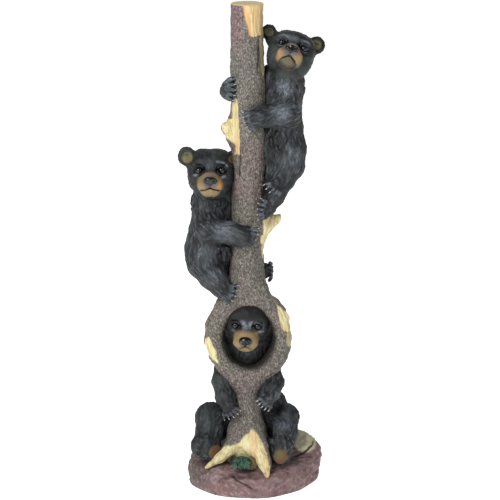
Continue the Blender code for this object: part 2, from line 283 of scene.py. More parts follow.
class Clay:
    """A block of signed distances in steps, negative inside the form."""

    def __init__(self, low: Point, high: Point, pitch: float) -> None:
        """Starts with an empty block.

        Args:
            low: The block's lowest corner.
            high: Its highest corner.
            pitch: The distance between samples.
        """
        self.low = array(*low)
        self.pitch = pitch * COARSE
        self.shape = np.ceil((array(*high) - self.low) / self.pitch).astype(int) + 1
        self.field = np.full(self.shape, FAR, np.float32)
        self.whole = self.field
        self.strands: list[tuple[np.ndarray, np.ndarray, float, float]] = []

    def window(self, low: np.ndarray, high: np.ndarray) -> tuple[tuple[slice, ...], list[np.ndarray]] | None:
        """The samples between two corners.

        Args:
            low: The lowest corner.
            high: The highest corner.

        Returns:
            Their slices and their open coordinates, or None where the block has none there.
        """
        first = np.maximum(np.floor((low - self.low) / self.pitch).astype(int), 0)
        last = np.minimum(np.ceil((high - self.low) / self.pitch).astype(int) + 1, self.shape)
        if np.any(last <= first):
            return None
        axes = []
        for i, open_shape in enumerate(((-1, 1, 1), (1, -1, 1), (1, 1, -1))):
            line = self.low[i] + self.pitch * np.arange(first[i], last[i])
            axes.append(line.reshape(open_shape).astype(np.float32))
        return tuple(slice(a, b) for a, b in zip(first, last)), axes

    def everywhere(self) -> list[np.ndarray]:
        """Open coordinates of all samples."""
        found = self.window(self.low, self.low + self.pitch * self.shape)
        return found[1]

    def melt(self, low: np.ndarray, high: np.ndarray, blend: float, carve: bool,
             distance: Callable[[list[np.ndarray]], np.ndarray]) -> None:
        """Adds a form, or carves it away, with a soft seam.

        Args:
            low: The form's lowest corner.
            high: Its highest corner.
            blend: The width of the seam.
            carve: Takes the form away.
            distance: Gives the form's signed distance at open coordinates.
        """
        margin = blend + 2.5 * self.pitch
        found = self.window(low - margin, high + margin)
        if found is None:
            return
        span, axes = found
        old = self.field[span]
        new = distance(axes).astype(np.float32)
        sign = -1.0 if carve else 1.0
        old = old * sign
        if blend > 0:
            near = np.clip(0.5 + 0.5 * (new - old) / blend, 0, 1)
            mixed = new * (1 - near) + old * near - blend * near * (1 - near)
        else:
            mixed = np.minimum(old, new)
        self.field[span] = mixed * sign

    def egg(self, centre: Point, radii: Point, turn: np.ndarray | None = None,
            blend: float = 6.0, carve: bool = False) -> None:
        """A ball stretched to three radii, then turned.

        Args:
            centre: Its middle.
            radii: Its three radii.
            turn: Its turned axes as columns, or None where it stands straight.
            blend: The width of its soft seam.
            carve: Takes it away.
        """
        middle = np.asarray(centre, dtype=float)
        size = np.asarray(radii, dtype=float)
        axes_of = np.eye(3) if turn is None else turn
        reach = np.abs(axes_of) @ size

        def distance(axes: list[np.ndarray]) -> np.ndarray:
            """Near the surface, the egg's signed distance."""
            x, y, z = (axis - m for axis, m in zip(axes, middle))
            near = far = 0.0
            for i in range(3):
                along = x * axes_of[0, i] + y * axes_of[1, i] + z * axes_of[2, i]
                near = near + (along / size[i]) ** 2
                far = far + (along / size[i] ** 2) ** 2
            near = np.sqrt(near)
            return near * (near - 1) / np.maximum(np.sqrt(far), 1e-6)

        self.melt(middle - reach, middle + reach, blend, carve, distance)

    def limb(self, stops: Sequence[tuple[np.ndarray, float]], blend: float = 6.0,
             carve: bool = False, fur: bool = False) -> None:
        """A tapered limb.

        Args:
            stops: Its centres and radii from end to end.
            blend: The width of its soft seam.
            carve: Takes it away.
            fur: Lets fur run along it.
        """
        for (start, start_radius), (end, end_radius) in zip(stops, stops[1:]):
            if fur:
                self.strands.append((start, end, start_radius, end_radius))
            along = end - start
            square = max(float(along @ along), 1e-9)

            def distance(axes: list[np.ndarray]) -> np.ndarray:
                """The signed distance to this stretch."""
                x, y, z = (axis - s for axis, s in zip(axes, start))
                share = np.clip((x * along[0] + y * along[1] + z * along[2]) / square, 0, 1)
                reach = np.sqrt(
                    (x - share * along[0]) ** 2 + (y - share * along[1]) ** 2 + (z - share * along[2]) ** 2
                )
                return reach - (start_radius + share * (end_radius - start_radius))

            widest = max(start_radius, end_radius)
            low = np.minimum(start, end) - widest
            high = np.maximum(start, end) + widest
            self.melt(low, high, blend, carve, distance)

    def mass(self, *stops: tuple[float, float, float, float], blend: float = 6.0) -> None:
        """A soft limb through stops of x, y, z and radius."""
        self.limb(rows(*stops), blend)

    def ease(self, depth: float) -> None:
        """Takes a thin even layer off the clay."""
        self.field += np.float32(depth)

    def between(self, low: float, high: float) -> None:
        """Keeps only the clay between two heights, and remembers the whole for its slopes."""
        self.whole = self.field
        z = self.everywhere()[2]
        self.field = np.maximum(self.field, np.maximum(low - z, z - high).astype(np.float32))

    def read(self, points: np.ndarray) -> np.ndarray:
        """The uncut form's signed distance, straight between samples.

        Args:
            points: Where to read it.

        Returns:
            The distance at each point.
        """
        spot = (points - self.low) / self.pitch
        base = np.clip(np.floor(spot).astype(int), 0, np.array(self.whole.shape) - 2)
        share = np.clip(spot - base, 0, 1)
        total = np.zeros(len(points))
        for corner in CORNERS:
            index = base + corner
            weight = np.prod(np.where(corner, share, 1 - share), axis=1)
            total += weight * self.whole[index[:, 0], index[:, 1], index[:, 2]]
        return total

    def normals(self, points: np.ndarray) -> np.ndarray:
        """The uncut form's unit normals at points."""
        reach = 0.7 * self.pitch
        slopes = [self.read(points + reach * axis) - self.read(points - reach * axis) for axis in np.eye(3)]
        return unit(np.stack(slopes, axis=1))

    def flow(self, points: np.ndarray) -> np.ndarray:
        """The lie of the fur: along the nearest limbs, from root to tip.

        Args:
            points: Places on the skin.

        Returns:
            A direction for each place, of any length.
        """
        total = np.zeros_like(points)
        for start, end, start_radius, end_radius in self.strands:
            along = end - start
            square = max(float(along @ along), 1e-9)
            share = np.clip((points - start) @ along / square, 0, 1)
            reach = np.linalg.norm(points - start - share[:, None] * along, axis=1)
            gap = np.abs(reach - (start_radius + share * (end_radius - start_radius)))
            total += np.exp(-gap / 3.5)[:, None] * unit(along)
        return total

    def skin(self) -> Skin:
        """The surface where the distance is zero.

        Returns:
            A skin with one point in each cell that the surface crosses.
        """
        inside = self.field < 0
        cells = tuple(n - 1 for n in self.field.shape)
        count = np.zeros(cells, np.uint8)
        for i, j, k in CORNERS:
            count += inside[i:i + cells[0], j:j + cells[1], k:k + cells[2]]
        crossed = (count > 0) & (count < 8)
        where = np.argwhere(crossed)
        values = np.stack([self.field[tuple((where + c).T)] for c in CORNERS], axis=1)
        total = np.zeros(where.shape)
        crossings = np.zeros((len(where), 1))
        for a in range(8):
            for b in range(a + 1, 8):
                if np.abs(CORNERS[a] - CORNERS[b]).sum() != 1:
                    continue
                cuts = ((values[:, a] < 0) != (values[:, b] < 0))[:, None]
                gap = values[:, a] - values[:, b]
                share = np.where(cuts[:, 0], values[:, a] / np.where(gap == 0, 1, gap), 0)[:, None]
                total += cuts * (CORNERS[a] + share * (CORNERS[b] - CORNERS[a]))
                crossings += cuts
        points = self.low + self.pitch * (where + total / crossings)
        number = np.full(cells, -1, np.int64)
        number[crossed] = np.arange(len(where))
        faces = []
        for axis in range(3):
            u, v = np.eye(3, dtype=int)[(axis + 1) % 3], np.eye(3, dtype=int)[(axis + 2) % 3]
            ahead = np.eye(3, dtype=int)[axis]
            inner = tuple(slice(0 if a == axis else 1, cells[a]) for a in range(3))
            shifted = tuple(slice(s.start + d, s.stop + d) for s, d in zip(inner, ahead))
            first, second = inside[inner], inside[shifted]
            at = np.argwhere(first != second)
            outward = first[tuple(at.T)]
            at = at + (1 - ahead)
            loop = np.stack([number[tuple(c.T)] for c in (at, at - u, at - u - v, at - v)], axis=1)
            loop[~outward] = loop[~outward][:, ::-1]
            faces.append(loop)
        return Skin(points, np.concatenate(faces))


@dataclass
class Wire:
    """A shader socket in an expression: each operator adds its Math node."""

    sheet: "Sheet"
    socket: bpy.types.NodeSocket

    def maths(self, operation: str, *others: Any, clamp: bool = False) -> "Wire":
        """Adds a Math node that starts with this socket."""
        node = self.sheet.add("ShaderNodeMath", {"operation": operation, "use_clamp": clamp},
                              dict(enumerate((self, *others))))
        return Wire(self.sheet, node.outputs[0])

    def __add__(self, other: Any) -> "Wire":
        """This plus other."""
        return self.maths("ADD", other)

    __radd__ = __add__

    def __mul__(self, other: Any) -> "Wire":
        """This times other."""
        return self.maths("MULTIPLY", other)

    __rmul__ = __mul__

    def __sub__(self, other: Any) -> "Wire":
        """This less other."""
        return self.maths("SUBTRACT", other)

    def __rsub__(self, other: float) -> "Wire":
        """Other less this."""
        return (self * -1.0) + other

    def clamped(self) -> "Wire":
        """This kept between 0 and 1."""
        return self.maths("ADD", 0.0, clamp=True)

    def steps(self, low: float, high: float) -> "Wire":
        """A smooth rise from 0 at low to 1 at high."""
        node = self.sheet.add(
            "ShaderNodeMapRange", {"interpolation_type": "SMOOTHSTEP"},
            {"Value": self, "From Min": low, "From Max": high},
        )
        return Wire(self.sheet, node.outputs["Result"])


class Sheet:
    """The node sheet of one material."""

    def __init__(self, name: str) -> None:
        """Starts a material with a Principled shader and an output."""
        self.material = bpy.data.materials.new(name)
        self.material.use_nodes = True
        self.tree = self.material.node_tree
        self.shader = self.tree.nodes["Principled BSDF"]

    def add(self, kind: str, settings: dict[str, Any], sockets: dict[Any, Any]) -> bpy.types.Node:
        """Adds any node.

        Args:
            kind: The node's type.
            settings: Its own settings, which are set first.
            sockets: Values or links of its sockets, by name or place.

        Returns:
            The new node.
        """
        node = self.tree.nodes.new(kind)
        for key, value in settings.items():
            setattr(node, key, value)
        for key, value in sockets.items():
            if isinstance(value, Wire):
                self.tree.links.new(value.socket, node.inputs[key])
            else:
                node.inputs[key].default_value = value
        return node

    def value(self, name: str) -> Wire:
        """A named value that the skin carries."""
        node = self.add("ShaderNodeAttribute", {"attribute_name": name}, {})
        return Wire(self, node.outputs["Fac"])

    def place(self, scale: Point = (1, 1, 1)) -> Wire:
        """The place on the statue in metres, stretched by a scale."""
        spot = self.add("ShaderNodeTexCoord", {}, {})
        node = self.add("ShaderNodeVectorMath", {"operation": "MULTIPLY"},
                        {0: Wire(self, spot.outputs["Object"]), 1: tuple(scale)})
        return Wire(self, node.outputs[0])

    def noise(self, place: Wire, scale: float, detail: float = 3, rough: float = 0.55) -> Wire:
        """Cloudy noise from 0 to 1.

        Args:
            place: Where it is read.
            scale: Clouds to a metre.
            detail: How many finer layers it has.
            rough: How strong those are.

        Returns:
            The noise.
        """
        node = self.add("ShaderNodeTexNoise", {},
                        {"Vector": place, "Scale": scale, "Detail": detail, "Roughness": rough})
        return Wire(self, node.outputs["Fac"])

    def mix(self, share: Any, first: Any, second: Any) -> Wire:
        """A colour that goes from first to second as the share rises."""
        node = self.tree.nodes.new("ShaderNodeMix")
        node.data_type = "RGBA"
        for socket, value in zip((node.inputs[0], node.inputs[6], node.inputs[7]), (share, first, second)):
            if isinstance(value, Wire):
                self.tree.links.new(value.socket, socket)
            else:
                socket.default_value = value
        return Wire(self, node.outputs[2])

    def finish(self, colour: Any, rough: Any, relief: Wire | None = None, depth: float = 0.0002,
               **constants: float) -> bpy.types.Material:
        """Wires up the shader.

        Args:
            colour: The base colour.
            rough: The roughness.
            relief: Fine height for the bump, from 0 to 1.
            depth: The height of that relief in metres.
            **constants: Other sockets of the shader, with spaces as underscores.

        Returns:
            The finished material.
        """
        for name, value in (("Base Color", colour), ("Roughness", rough)):
            if isinstance(value, Wire):
                self.tree.links.new(value.socket, self.shader.inputs[name])
            else:
                self.shader.inputs[name].default_value = value
        if relief is not None:
            bump = self.add("ShaderNodeBump", {}, {"Strength": 1.0, "Distance": depth, "Height": relief})
            self.tree.links.new(bump.outputs["Normal"], self.shader.inputs["Normal"])
        for name, value in constants.items():
            self.shader.inputs[name.replace("_", " ")].default_value = value
        return self.material


@dataclass(frozen=True)
class PaintedFur:
    """Near-black fur, dry-brushed blue-grey, with painted highlights and painted shade, tan muzzles, olive
    ears and pads.
    """

    # Painted shade: near-black laid in hollows and creases, the mouth's line, the eye sockets and the
    # knothole's shadow
    painted_shade: Colour = paint("0b0b0c")
    under: Colour = paint("121315")
    coat: Colour = paint("2c2f33")
    brushed: Colour = paint("7b848f")
    # Pale blue-grey of the light daubs: dry-brush paint together with painted highlight where light catches
    # brows, lids, chests, thighs and toes
    patch: Colour = paint("a3aebb")
    warm: Colour = paint("453f3d")
    green: Colour = paint("39413f")
    tan: Colour = paint("84724f")
    tan_light: Colour = paint("a87b4a")
    muzzle_dark: Colour = paint("56504f")
    olive: Colour = paint("77714a")
    chin: Colour = paint("4e4e3c")
    pad: Colour = paint("5d5530")
    pad_rim: Colour = paint("60402a")

    def build(self) -> bpy.types.Material:
        """Returns the material."""
        sheet = Sheet("painted_fur")
        place = sheet.place()
        ridge = sheet.value("ridge")
        painted_shade = sheet.value("painted_shade")
        patches = sheet.noise(place, 38, 2).steps(0.40, 0.68)
        specks = sheet.noise(place, 560, 2)
        coat = sheet.mix(ridge.steps(0.15, 0.85), self.under, self.coat)
        coat = sheet.mix(sheet.noise(place, 24, 2).steps(0.5, 0.75) * 0.30, coat, self.warm)
        coat = sheet.mix(sheet.noise(place, 31, 2).steps(0.48, 0.7) * 0.5, coat, self.green)
        brush = (ridge.steps(0.5, 0.95) * (0.25 + patches * 0.75) * specks.steps(0.3, 0.65)).clamped()
        coat = sheet.mix((brush * 0.4).clamped(), coat, self.brushed)
        # Painted highlight: the light daubs, speckled and strongest on raised strokes
        highlight_speckle = 0.55 + 0.6 * specks.steps(0.35, 0.65)
        light = (sheet.value("light") * (0.3 + 0.7 * ridge) * highlight_speckle).clamped()
        coat = sheet.mix(light, coat, self.patch)
        tan = sheet.mix(sheet.value("orange"), self.tan, self.tan_light)
        tan = sheet.mix(sheet.value("smoke"), tan, self.muzzle_dark)
        tan = sheet.mix(specks.steps(0.35, 0.75) * 0.3, tan, self.tan)
        tan = sheet.mix(sheet.value("chin"), tan, self.chin)
        coat = sheet.mix(sheet.value("muzzle"), coat, tan)
        coat = sheet.mix(sheet.value("olive") * (0.6 + 0.3 * specks.steps(0.35, 0.6)), coat, self.olive)
        pad = sheet.mix(sheet.value("pad_rim"), self.pad, self.pad_rim)
        coat = sheet.mix(sheet.value("pad"), coat, pad)
        # Painted shade in hollows and creases, the mouth's line, the eye sockets and the knothole's shadow
        coat = sheet.mix((painted_shade * 0.85).clamped(), coat, self.painted_shade)
        rough = 0.56 + specks * 0.16
        return sheet.finish(coat, rough, specks, 0.00012, Specular_IOR_Level=0.32)


@dataclass(frozen=True)
class PaintedBark:
    """Grey-taupe tooled bark with pink and olive tints, bare cream wood, and painted shade in the knothole,
    cracks and the roots' arch.
    """

    gap: Colour = paint("3f3a36")
    bark: Colour = paint("6d6962")
    fleck: Colour = paint("a8a296")
    pink: Colour = paint("786264")
    green: Colour = paint("69695a")
    cream: Colour = paint("cfc79e")
    yellow: Colour = paint("bfae78")
    orange: Colour = paint("d3a26c")
    streak: Colour = paint("a08a55")
    # Painted shade inside the knothole's lip, in cracks and under the roots' arch
    hole: Colour = paint("15130f")

    def build(self) -> bpy.types.Material:
        """Returns the material."""
        sheet = Sheet("painted_bark")
        place = sheet.place()
        ridge = sheet.value("ridge")
        grain = sheet.noise(sheet.place((1, 1, 0.12)), 330, 3)
        specks = sheet.noise(sheet.place((1, 1, 0.6)), 620, 1)
        pink = (sheet.noise(place, 26, 2).steps(0.50, 0.7) * 0.35 + sheet.value("pink")).clamped()
        bark = sheet.mix(pink, self.bark, self.pink)
        lichen = sheet.noise(sheet.place((1.3, 1.3, 0.7)), 27, 2).steps(0.50, 0.74) * 0.6
        bark = sheet.mix(lichen, bark, self.green)
        bark = sheet.mix(ridge.steps(0.45, 0.0) * 0.5, bark, self.gap)
        bark = sheet.mix(specks.steps(0.62, 0.28) * 0.85, bark, self.gap)
        bark = sheet.mix((ridge.steps(0.3, 0.9) * specks.steps(0.4, 0.8) * 0.6).clamped(), bark, self.fleck)
        wood = sheet.mix(grain.steps(0.42, 0.66), self.cream, self.yellow)
        wood = sheet.mix(sheet.value("orange"), wood, self.orange)
        wood = sheet.mix(ridge.steps(0.34, 0.02) * 0.5, wood, self.streak)
        colour = sheet.mix(sheet.value("bare"), bark, wood)
        colour = sheet.mix(sheet.value("moss"), colour, self.green)
        # Painted shade and shadow of the knothole, cracks and the roots' arch
        colour = sheet.mix(sheet.value("painted_shade"), colour, self.hole)
        rough = 0.66 + specks * 0.14 - sheet.value("bare") * 0.12
        return sheet.finish(colour, rough, specks, 0.00015, Specular_IOR_Level=0.3)


@dataclass(frozen=True)
class PaintedRock:
    """Mauve-brown chiselled rock with painted shade in its cracks and grooves, darker to the left, pale
    scratches and a cream ledge.
    """

    mauve: Colour = paint("735958")
    shade: Colour = paint("4a4642")
    light: Colour = paint("a39091")
    crack: Colour = paint("2b2323")
    # Painted shade in the cracks
    cream: Colour = paint("b9b496")

    def build(self) -> bpy.types.Material:
        """Returns the material."""
        sheet = Sheet("painted_rock")
        place = sheet.place()
        ridge = sheet.value("ridge")
        fine = sheet.noise(place, 420, 3)
        colour = sheet.mix(sheet.noise(place, 30, 3).steps(0.46, 0.7) * 0.4, self.mauve, self.light)
        colour = sheet.mix(sheet.value("shade"), colour, self.shade)
        colour = sheet.mix(ridge.steps(0.42, 0.1) * 0.75, colour, self.shade)
        scratches = (ridge.steps(0.58, 0.95) * fine.steps(0.35, 0.7) * 0.7).clamped()
        colour = sheet.mix(scratches, colour, self.light)
        colour = sheet.mix(sheet.value("cream"), colour, self.cream)
        # Painted shade in the cracks
        colour = sheet.mix(sheet.value("painted_shade"), colour, self.crack)
        return sheet.finish(colour, 0.62 + fine * 0.15, fine, 0.0002, Specular_IOR_Level=0.35)


@dataclass(frozen=True)
class Leaves:
    """Dark green painted leaves."""

    deep: Colour = paint("1d3a30")
    fresh: Colour = paint("4f7660")

    def build(self) -> bpy.types.Material:
        """Returns the material."""
        sheet = Sheet("painted_leaves")
        specks = sheet.noise(sheet.place(), 240, 2)
        colour = sheet.mix((sheet.value("ridge") * specks.steps(0.25, 0.65)).clamped(), self.deep, self.fresh)
        return sheet.finish(colour, 0.6, specks, 0.00015)


@dataclass(frozen=True)
class GlossBlack:
    """Wet-looking black of eyes, noses and claws, with dusty specks, and a pale painted highlight along the
    claws' backs.
    """

    name: str = "gloss_black"
    black: Colour = paint("0a0a0b")
    # Dusty specks on eyes and noses; on claws the pale painted highlight
    dust_and_sheen: Colour = paint("1b1a1c")
    rough: float = 0.06
    painted_sheen: bool = False

    def build(self) -> bpy.types.Material:
        """Returns the material."""
        sheet = Sheet(self.name)
        specks = sheet.noise(sheet.place(), 900, 2)
        # Claws take the painted highlight along their backs from the ridge value; eyes and noses take dusty
        # specks
        share = sheet.value("ridge") if self.painted_sheen else specks.steps(0.5, 0.8)
        colour = sheet.mix(share, self.black, self.dust_and_sheen)
        rough = self.rough + specks * 0.06
        return sheet.finish(colour, rough, specks, 0.00002, Specular_IOR_Level=0.5)


@dataclass
class Finishes:
    """All finishes of the statue, built once."""

    fur: bpy.types.Material = field(init=False)
    bark: bpy.types.Material = field(init=False)
    rock: bpy.types.Material = field(init=False)
    leaves: bpy.types.Material = field(init=False)
    gloss: bpy.types.Material = field(init=False)
    claw: bpy.types.Material = field(init=False)

    def __post_init__(self) -> None:
        """Builds them."""
        self.fur = PaintedFur().build()
        self.bark = PaintedBark().build()
        self.rock = PaintedRock().build()
        self.leaves = Leaves().build()
        self.gloss = GlossBlack().build()
        # Claws: gloss black with a pale painted highlight along their backs
        self.claw = GlossBlack("gloss_claw", paint("101011"), paint("c4c6c8"), 0.12, True).build()


@dataclass
class Trunk:
    """The tree: a stem that parts round the knothole, flares into roots and lost its boughs."""

    radius: float = 20
    hole: tuple[float, float, float] = (-4.4, -10, 191)
    hole_half_width: float = 32
    hole_half_height: float = 38.5
    lip: float = 0.33
    fork: float = 268
    part_at: float = 262
    pitch: float = 1.12
    patches: Sequence[tuple[Any, ...]] = (
        (0.9, 1.0, (-12.5, 615), (-8, 592), (-4, 574), (4, 571), (24, 573), (24, 615)),
        (0.0, 0.6, (6.5, 570), (15, 572), (18, 524), (12, 520)),
        (0.1, 1.0, (-44, 466), (-25, 469), (-17, 469), (-16, 436),
         (-18, 426), (-23, 426), (-31, 442), (-44, 450)),
        (0.2, 0.9, (-26, 494), (-19, 494), (-17, 466), (-26, 466)),
        (1.0, 1.0, (-22, 448), (-16, 448), (-16, 424), (-22, 424)),
        (0.0, 1.0, (13, 345), (27, 356), (44, 354), (44, 336), (24, 320), (14, 310)),
        (0.15, 1.0, (11, 322), (22, 322), (19, 300), (14, 288), (11, 300)),
        (0.1, 1.0, (30, 235), (54, 218), (48, 198), (39, 202), (32, 222)),
        (0.1, 0.55, (42, 205), (52, 205), (50, 178), (43, 182)),
        (0.1, 1.0, (-54, 194), (-47, 188), (-45, 174), (-41, 166), (-44, 160), (-60, 170), (-60, 190)),
    )
    root_edge: Sequence[tuple[float, float]] = (
        (-64, 42), (-34, 58), (-20, 61), (-12, 72), (0, 80), (6, 77), (14, 64), (19, 50), (27, 10),
    )
    left_rim: Sequence[tuple[float, float, float]] = (
        (-0.10, 1.95, 0.60), (-0.47, 1.54, 0.48), (-0.97, 0.96, 0.40), (-1.34, 0.40, 0.385),
        (-1.39, -0.10, 0.377), (-1.23, -0.56, 0.36), (-0.86, -1.02, 0.35), (-0.42, -1.42, 0.39),
        (-0.10, -1.85, 0.42),
    )
    right_rim: Sequence[tuple[float, float, float]] = (
        (0.0, 1.95, 0.58), (0.33, 1.60, 0.43), (0.76, 1.08, 0.31), (1.14, 0.62, 0.31),
        (1.26, 0.16, 0.31), (1.20, -0.23, 0.30), (0.88, -0.68, 0.29), (0.58, -1.08, 0.36),
        (0.19, -1.48, 0.39), (-0.08, -1.85, 0.42),
    )

    def axis(self, height: float) -> np.ndarray:
        """The stem's middle at a height: it wavers a little on its way up."""
        share = height / HEIGHT
        waver = -5.6 + 1.3 * math.sin(13 * share - 7.6)
        return array(waver, -12 * max(0.0, 1 - share / 0.45), height)

    def girth(self, height: float) -> float:
        """The stem's radius at a height, swelling above the knothole."""
        share = height / HEIGHT
        swell = math.exp(-(((share - 0.43) / 0.045) ** 2))
        return self.radius * (1 + 0.03 * math.sin(26 * share - 1.4) + 0.16 * swell)

    def on(self, height: float, bearing: float, standoff: float) -> np.ndarray:
        """A point off the bark: bearing 0 is the right side, 90 the front, 180 the left."""
        angle = math.radians(-bearing)
        reach = self.girth(height) + standoff
        return self.axis(height) + array(math.cos(angle), math.sin(angle), 0) * reach

    def ring_point(self, out: float, up: float) -> np.ndarray:
        """A point round the knothole, in shares of its half width and half height."""
        return np.array(self.hole) + array(out * self.hole_half_width, 0, up * self.hole_half_height)

    def stem(self, clay: Clay) -> None:
        """The stem above the fork."""
        stretches = 18
        rise = HEIGHT + 20 - self.fork
        heights = [self.fork + rise * i / stretches for i in range(stretches + 1)]
        clay.limb([(self.axis(z), self.girth(z)) for z in heights], 3.0)

    def ring(self, clay: Clay) -> None:
        """The limbs and the rolled bark that enclose the knothole."""
        wide = self.hole_half_width
        for rim in (self.left_rim, self.right_rim):
            clay.limb([(self.ring_point(out, up), thick * wide - 0.8) for out, up, thick in rim], 4)
        lip = self.lip * wide
        rolled = []
        for i in range(25):
            angle = math.tau * i / 24
            reach = array(math.sin(angle) * (wide + lip), 0, math.cos(angle) * (self.hole_half_height + lip))
            rolled.append((np.array(self.hole) + reach, lip))
        clay.limb(rolled, 4)
        for out, up in ((-0.3, 1.7), (0.3, 1.7), (-0.42, -1.48), (0.3, -1.5), (-0.1, -1.75)):
            clay.egg(self.ring_point(out, up), (0.36 * wide,) * 3, blend=5)

    def roots(self, clay: Clay) -> None:
        """The foot of the trunk, its two bare front roots and the hidden ones."""
        clay.mass(
            (-6.9, -13, 120, 15), (-6.9, -14, 102, 15.5), (-6.9, -15, 88, 17.5),
            (-6.9, -15, 71, 24), (-6.9, -14, 48, 28), (-6.9, -12, 24, 32), blend=4,
        )
        clay.mass(
            (-12, -27, 72, 13), (-29, -35, 52, 8.6), (-40, -40, 43, 6.4), (-57.5, -46, 32, 3.2), blend=4,
        )
        clay.mass((2, -32, 74, 13), (8, -44, 57, 11), (14.3, -55, 41, 8.5), (18, -63, 26, 4.6), blend=5)
        clay.mass((-6, -31, 72, 12), (-8, -36, 62, 12), (2, -42, 54, 10), blend=5)
        clay.mass((18, -4, 44, 14), (36, 12, 42, 9), (54, 10, 46, 6))
        clay.mass((-26, 2, 44, 14), (-42, 16, 36, 9), (-58, 18, 30, 5))

    def stubs(self, clay: Clay) -> None:
        """What is left of the boughs, with broken ends."""
        left = self.on(440, 180, 0)
        right = self.on(326, 0, 0)
        for base, stops in (
            (left, ((3, 0, -12, 5), (-1, 0, 2, 8))),
            (left, ((1, -2, 4, 8), (-7, -3, 15, 6.5), (-12.5, -3, 19, 3.2))),
            (left, ((-7, -3, 15, 6.5), (-2, -1, 26, 4.0), (3, 0, 42, 4.5))),
            (right, ((-5, -6, -6, 9), (4, -6, 6, 8), (13, -6, 12, 6.5))),
            (right, ((4, -6, 8, 7), (12, -6, 17, 5.0), (20, -6, 20, 3.6))),
            (right, ((12, -6, 12, 5.5), (19, -6, 15, 4.0))),
            (right, ((-5, -4, -24, 4.5), (-1.5, -4, -8, 6))),
        ):
            clay.limb([(base + array(x, y, z), r) for x, y, z, r in stops], 4)
        clay.mass((26, -10, 235, 8), (35, -10, 224, 7), (43.5, -11, 216, 3.8), (41, -10, 196, 5), blend=3)

    @staticmethod
    def outside(x: np.ndarray, z: np.ndarray, corners: Sequence[tuple[float, float]]) -> np.ndarray:
        """How far places are outside a convex patch whose corners are seen from the front."""
        edges = [(*start, *end) for start, end in zip(corners, corners[1:] + corners[:1])]
        turn = math.copysign(1, sum(ax * bz - bx * az for ax, az, bx, bz in edges))
        return np.max([
            turn * ((x - ax) * (bz - az) - (z - az) * (bx - ax)) / math.hypot(bx - ax, bz - az)
            for ax, az, bx, bz in edges
        ], axis=0)

    def bare(self, points: np.ndarray) -> tuple[np.ndarray, np.ndarray]:
        """Where the bark has gone, and where that wood is orange.

        Args:
            points: Places on the trunk.

        Returns:
            Two shares from 0 to 1 for each place.
        """
        ragged = 5.0 * (Grain(11, 7).at(points) - 0.5) + 2.4 * (Grain(12, 2.4).at(points) - 0.5)
        x, y, z = points.T
        front = ramp(y, 2, -4)
        total = np.zeros(len(points))
        orange = np.zeros(len(points))
        for tint, strength, *corners in self.patches:
            share = ramp(self.outside(x, z, corners) + ragged * 0.5, 0.9, -0.9) * front * strength
            total = np.maximum(total, share)
            orange = np.maximum(orange, share * tint)
        orange = orange * (0.5 + 0.5 * ramp(np.abs(x + 11 - 0.18 * (HEIGHT - z)), 6, 1) * ramp(z, 560, 570))
        places, heights = zip(*self.root_edge)
        roots = ramp(z + 1.0 * ragged - np.interp(x, places, heights), 2, -2) * ramp(y, -26, -33)
        total = np.maximum(total, roots)
        tips = np.maximum(ramp(z, 36, 20), ramp(x + 0.2 * z, 22, 30)) * 0.7
        orange = np.maximum(orange, roots * np.maximum(tips, 0.45 * ramp(np.abs(x - 2), 7, 1)))
        sawn = ramp(z, HEIGHT - 1.2, HEIGHT - 0.4)
        return np.maximum(total, sawn), orange * (1 - sawn) + 0.25 * sawn

    def dress(self, clay: Clay, seam: float) -> Skin:
        """Cuts bark and grain into the trunk's skin and marks its colours.

        Args:
            clay: The modelled piece.
            seam: The height of its hidden edge, which is tucked under the other piece.

        Returns:
            The dressed skin.
        """
        skin = clay.skin()
        skin.relax(1)
        normals = clay.normals(skin.points)
        points = skin.points.copy()
        z = points[:, 2]
        bare, orange = self.bare(points)
        swirl = Grain(21, 6)
        lie = unit(np.stack([
            (swirl.at(points) - 0.5) * 2.6, (swirl.at(points + 37.0) - 0.5) * 2.6, np.ones(len(points))
        ], axis=1))
        around = self.grain_direction(points)
        lie = laid_flat(unit(lie * 0.9 + around * 0.8), normals)
        along = laid_flat(around, normals)
        rice = Grain(22, 1.25).tooling(points, lie, 3.0, 0.3)
        furrow = Grain(23, 5.0).tooling(points, along, 40, 0.3)
        fibre = Grain(24, 1.3).tooling(points, along, 26, 0.35)
        top = ramp(z, HEIGHT - 1.0, HEIGHT - 0.2)
        bark = (rice - 0.6) * 0.8 + (furrow - 0.5) * 0.8
        wood = (fibre - 0.5) * 0.8 + (furrow - 0.5) * 1.1 - 1.1
        height = (bark * (1 - bare) + wood * bare) * (1 - top) - tuck(z, seam)
        ground = ramp(z, 4, 12)
        skin.points += normals * (height * ground)[:, None]
        # One value carries the painted shade and shadow of the knothole, cracks and the roots' arch
        skin.values = {
            "ridge": rice * (1 - bare) + fibre * bare, "bare": bare, "orange": orange,
            "moss": ramp(Grain(25, 5).at(points), 0.62, 0.8) * ramp(z, 60, 30) * 0.6,
            "pink": self.blush(points), "painted_shade": self.darkness(points, bare),
        }
        return skin

    def from_hole(self, points: np.ndarray) -> tuple[np.ndarray, np.ndarray]:
        """How far places are across and up from the knothole's middle, in shares of its halves."""
        across = (points[:, 0] - self.hole[0]) / self.hole_half_width
        return across, (points[:, 2] - self.hole[2]) / self.hole_half_height

